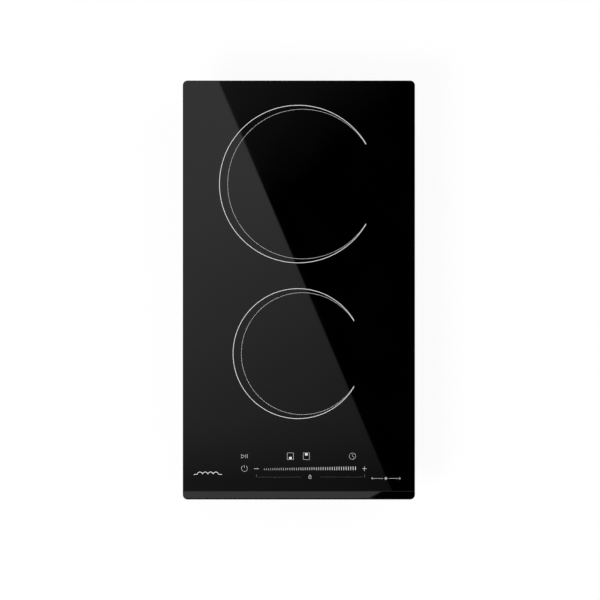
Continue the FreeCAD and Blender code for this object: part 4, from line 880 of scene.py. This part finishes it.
class HOB_OT_stage(bpy.types.Operator):
    """Set the pale floor, the soft lights, the overhead card and the camera"""
    bl_idname = "hob.stage"
    bl_label = "Stage"

    def execute(self, context):
        self.set_floor(context)
        self.set_world(context)
        self.set_card()
        self.set_lights()
        self.set_camera(context)
        return {"FINISHED"}

    @staticmethod
    def seen(tree):
        """One for a camera, glossy or transmission ray, and nought for the rest."""
        path = add(tree, "ShaderNodeLightPath").outputs
        either = add(tree, "ShaderNodeMath", {"operation": "MAXIMUM"},
                     {0: path["Is Camera Ray"], 1: path["Is Glossy Ray"]})
        return add(tree, "ShaderNodeMath", {"operation": "MAXIMUM"},
                   {0: either.outputs[0], 1: path["Is Transmission Ray"]}).outputs[0]

    def set_floor(self, context):
        """Pale paper that glows a little to the eye and is clear from below."""
        clear_selection()
        bpy.ops.mesh.primitive_plane_add(size=9, location=(0, 0, CAD_BOX[0][2]))
        floor = settle(0, 0, CAD_BOX[0][2] - 0.0001)
        floor.name = "studio_floor"
        material = bpy.data.materials.new("studio_floor_paper")
        material.use_nodes = True
        tree = material.node_tree
        tree.nodes.clear()
        paper = add(tree, "ShaderNodeBsdfDiffuse",
                    {"Color": opaque(context.scene.hob_colours.floor)})
        glow = add(tree, "ShaderNodeEmission", {"Color": (1, 1, 1, 1), "Strength": 1.0})
        part = add(tree, "ShaderNodeMath", {"operation": "MULTIPLY", 1: FLOOR_GLOW},
                   {0: self.seen(tree)})
        both = add(tree, "ShaderNodeMixShader", {}, {0: part.outputs[0], 1: paper.outputs[0],
                                                     2: glow.outputs[0]})
        clear = add(tree, "ShaderNodeBsdfTransparent")
        below = add(tree, "ShaderNodeNewGeometry").outputs["Backfacing"]
        sided = add(tree, "ShaderNodeMixShader", {}, {0: below, 1: both.outputs[0],
                                                      2: clear.outputs[0]})
        add(tree, "ShaderNodeOutputMaterial", {}, {"Surface": sided.outputs[0]})
        floor.data.materials.append(material)

    def set_world(self, context):
        """An even white studio, a little dimmer as a light than as it looks."""
        world = bpy.data.worlds.new("studio_world")
        context.scene.world = world
        world.use_nodes = True
        tree = world.node_tree
        tree.nodes.clear()
        level = add(tree, "ShaderNodeMapRange", {"To Min": 0.62, "To Max": 1.0},
                    {"Value": self.seen(tree)})
        sky = add(tree, "ShaderNodeBackground", {"Color": (1, 1, 1, 1)},
                  {"Strength": level.outputs[0]})
        add(tree, "ShaderNodeOutputWorld", {}, {"Surface": sky.outputs[0]})

    def set_card(self):
        """A card over the hob that only polished surfaces see: bright on one side of a slanted
        edge, brighter to the rear, and nearly black on the other side."""
        high = 1.5
        clear_selection()
        bpy.ops.mesh.primitive_plane_add(size=1)
        edit()
        bpy.ops.transform.resize(value=(1.9, 2.5, 1))
        leave()
        card = settle(0, -0.35, GLASS_TOP + high)
        card.name = "overhead_card"
        material = bpy.data.materials.new("overhead_card_light")
        material.use_nodes = True
        tree = material.node_tree
        tree.nodes.clear()
        reach = high / CAMERA_HIGH
        share = 1 / (1 + reach)
        place = add(tree, "ShaderNodeTexCoord").outputs["Object"]
        on_glass = add(tree, "ShaderNodeMapping",
                       {"Location": (CAMERA_X * reach * share, CAMERA_Y * reach * share, 0),
                        "Scale": (share, share, 1)}, {"Vector": place})
        split = add(tree, "ShaderNodeSeparateXYZ", {}, {"Vector": on_glass.outputs[0]})
        x, y = split.outputs["X"], split.outputs["Y"]
        left = add(tree, "ShaderNodeMath", {"operation": "GREATER_THAN", 1: 0.0},
                   {0: self.left_of_edge(tree, x, y)})
        over = add(tree, "ShaderNodeMix", {"data_type": "FLOAT"},
                   {0: left.outputs[0], 2: self.dim_part(tree, x, y),
                    3: self.lit_part(tree, x, y)})
        ahead = add(tree, "ShaderNodeMath", {"operation": "LESS_THAN", 1: FRONT_CARD}, {0: y})
        level = add(tree, "ShaderNodeMix", {"data_type": "FLOAT"},
                    {0: ahead.outputs[0], 2: over.outputs[0], 3: self.front_part(tree, x, y)})
        light = add(tree, "ShaderNodeEmission", {"Color": (1, 1, 1, 1)},
                    {"Strength": level.outputs[0]})
        add(tree, "ShaderNodeOutputMaterial", {}, {"Surface": light.outputs[0]})
        card.data.materials.append(material)
        card.visible_camera = card.visible_diffuse = card.visible_shadow = False
        card.visible_transmission = False

    @staticmethod
    def left_of_edge(tree, x, y):
        """Distance to the left of the card's slanted edge, as it falls on the glass."""
        slant = add(tree, "ShaderNodeMath",
                    {"operation": "MULTIPLY_ADD", 1: LEAN_X, 2: -LEAN_X * EDGE_X}, {0: x})
        slant = add(tree, "ShaderNodeMath", {"operation": "MULTIPLY_ADD", 1: LEAN_Y},
                    {0: y, 2: slant.outputs[0]})
        return add(tree, "ShaderNodeMath", {"operation": "ADD", 1: -LEAN_Y * EDGE_Y},
                   {0: slant.outputs[0]}).outputs[0]

    def lit_part(self, tree, x, y):
        """The bright side: brighter to the rear, and to the left near the front."""
        lean = add(tree, "ShaderNodeMapRange", {"From Min": -0.06, "From Max": 0.16,
                                                "To Min": -1.9, "To Max": 0.0}, {"Value": y})
        across = add(tree, "ShaderNodeMath", {"operation": "ADD", 1: 0.06}, {0: x})
        across = add(tree, "ShaderNodeMath", {"operation": "MULTIPLY_ADD", 2: 1.0},
                     {0: across.outputs[0], 1: lean.outputs[0]})
        return add(tree, "ShaderNodeMath", {"operation": "MULTIPLY"},
                   {0: self.ramp(tree, y, CARD_BRIGHT), 1: across.outputs[0]}).outputs[0]

    @staticmethod
    def dim_part(tree, x, y):
        """The dark side: a faint glow at the rear left corner."""
        glow = add(tree, "ShaderNodeMath", {"operation": "MULTIPLY_ADD", 1: -0.73, 2: -0.1082},
                   {0: x})
        glow = add(tree, "ShaderNodeMath", {"operation": "MULTIPLY_ADD", 1: 0.81},
                   {0: y, 2: glow.outputs[0]})
        return add(tree, "ShaderNodeMath", {"operation": "MAXIMUM", 1: 0.0},
                   {0: glow.outputs[0]}).outputs[0]

    @staticmethod
    def front_part(tree, x, y):
        """What the front bevel and its arris see."""
        edge = add(tree, "ShaderNodeMath", {"operation": "MULTIPLY_ADD", 1: -1.55, 2: -0.916},
                   {0: y})
        edge = add(tree, "ShaderNodeMath", {"operation": "ADD"}, {0: edge.outputs[0], 1: x})
        lit = add(tree, "ShaderNodeMath", {"operation": "LESS_THAN", 1: 0.2095},
                  {0: edge.outputs[0]})
        bevel = add(tree, "ShaderNodeMath", {"operation": "MULTIPLY", 1: 0.92},
                    {0: lit.outputs[0]})
        arris = add(tree, "ShaderNodeMath", {"operation": "GREATER_THAN", 1: ARRIS_CARD}, {0: y})
        return add(tree, "ShaderNodeMix", {"data_type": "FLOAT", 3: 0.42},
                   {0: arris.outputs[0], 2: bevel.outputs[0]}).outputs[0]

    @staticmethod
    def ramp(tree, y, stops):
        """Light level along Y, given as places and levels from front to rear."""
        reach = add(tree, "ShaderNodeMapRange", {"From Min": -CARD_HALF, "From Max": CARD_HALF},
                    {"Value": y})
        made = add(tree, "ShaderNodeValToRGB", {}, {"Fac": reach.outputs[0]})
        line = made.color_ramp
        for place, level in stops[1:-1]:
            line.elements.new((place + CARD_HALF) / (2 * CARD_HALF))
        for element, (place, level) in zip(line.elements, stops):
            element.position = (place + CARD_HALF) / (2 * CARD_HALF)
            element.color = (level, level, level, 1)
        return made.outputs["Color"]

    @staticmethod
    def set_lights():
        """Two soft boxes that aim at the middle of the hob."""
        for name, place, size, power in (("key_softbox", (-1.7, -1.3, 2.2), 1.2, 52),
                                         ("fill_softbox", (1.9, 1.2, 1.6), 1.4, 14)):
            clear_selection()
            bpy.ops.object.light_add(type="AREA", location=place)
            light = bpy.context.object
            light.name = name
            light.data.size = size
            light.data.energy = power
            aim = Vector((0, 0, 0)) - Vector(place)
            light.rotation_euler = aim.to_track_quat("-Z", "Y").to_euler()

    @staticmethod
    def set_camera(context):
        """A long lens that looks straight down."""
        clear_selection()
        bpy.ops.object.camera_add(location=(CAMERA_X, CAMERA_Y, GLASS_TOP + CAMERA_HIGH),
                                  rotation=(0, 0, 0))
        camera = bpy.context.object
        camera.data.lens = LENS
        camera.data.sensor_width = SENSOR
        camera.data.clip_end = 30
        context.scene.camera = camera


class HOB_PT_panel(bpy.types.Panel):
    """Sizes, colours and the steps of the build"""
    bl_label = "Induction hob"
    bl_idname = "HOB_PT_panel"
    bl_space_type = "VIEW_3D"
    bl_region_type = "UI"
    bl_category = "Hob"

    def draw(self, context):
        for group in (context.scene.hob_sizes, context.scene.hob_colours):
            for key in group.__annotations__:
                self.layout.prop(group, key)
        for step in STEPS:
            self.layout.operator(step.bl_idname)


STEPS = (HOB_OT_frame_finishes, HOB_OT_zone_marks, HOB_OT_key_symbols, HOB_OT_slider_scale,
         HOB_OT_springs, HOB_OT_coil_leads, HOB_OT_stage)
CLASSES = (HobSizes, HobColours) + STEPS + (HOB_PT_panel,)


def register():
    """Register the classes and hang the settings on the scene."""
    for item in CLASSES:
        bpy.utils.register_class(item)
    bpy.types.Scene.hob_sizes = bpy.props.PointerProperty(type=HobSizes)
    bpy.types.Scene.hob_colours = bpy.props.PointerProperty(type=HobColours)


def unregister():
    """Take it all away again."""
    del bpy.types.Scene.hob_colours
    del bpy.types.Scene.hob_sizes
    for item in reversed(CLASSES):
        bpy.utils.unregister_class(item)


def main():
    """Run every step in order."""
    register()
    bpy.context.scene.view_settings.view_transform = "Standard"
    for step in STEPS:
        group, name = step.bl_idname.split(".")
        if getattr(getattr(bpy.ops, group), name)() != {"FINISHED"}:
            raise RuntimeError(step.bl_label + " did not finish")


if __name__ == "__main__":
    main()
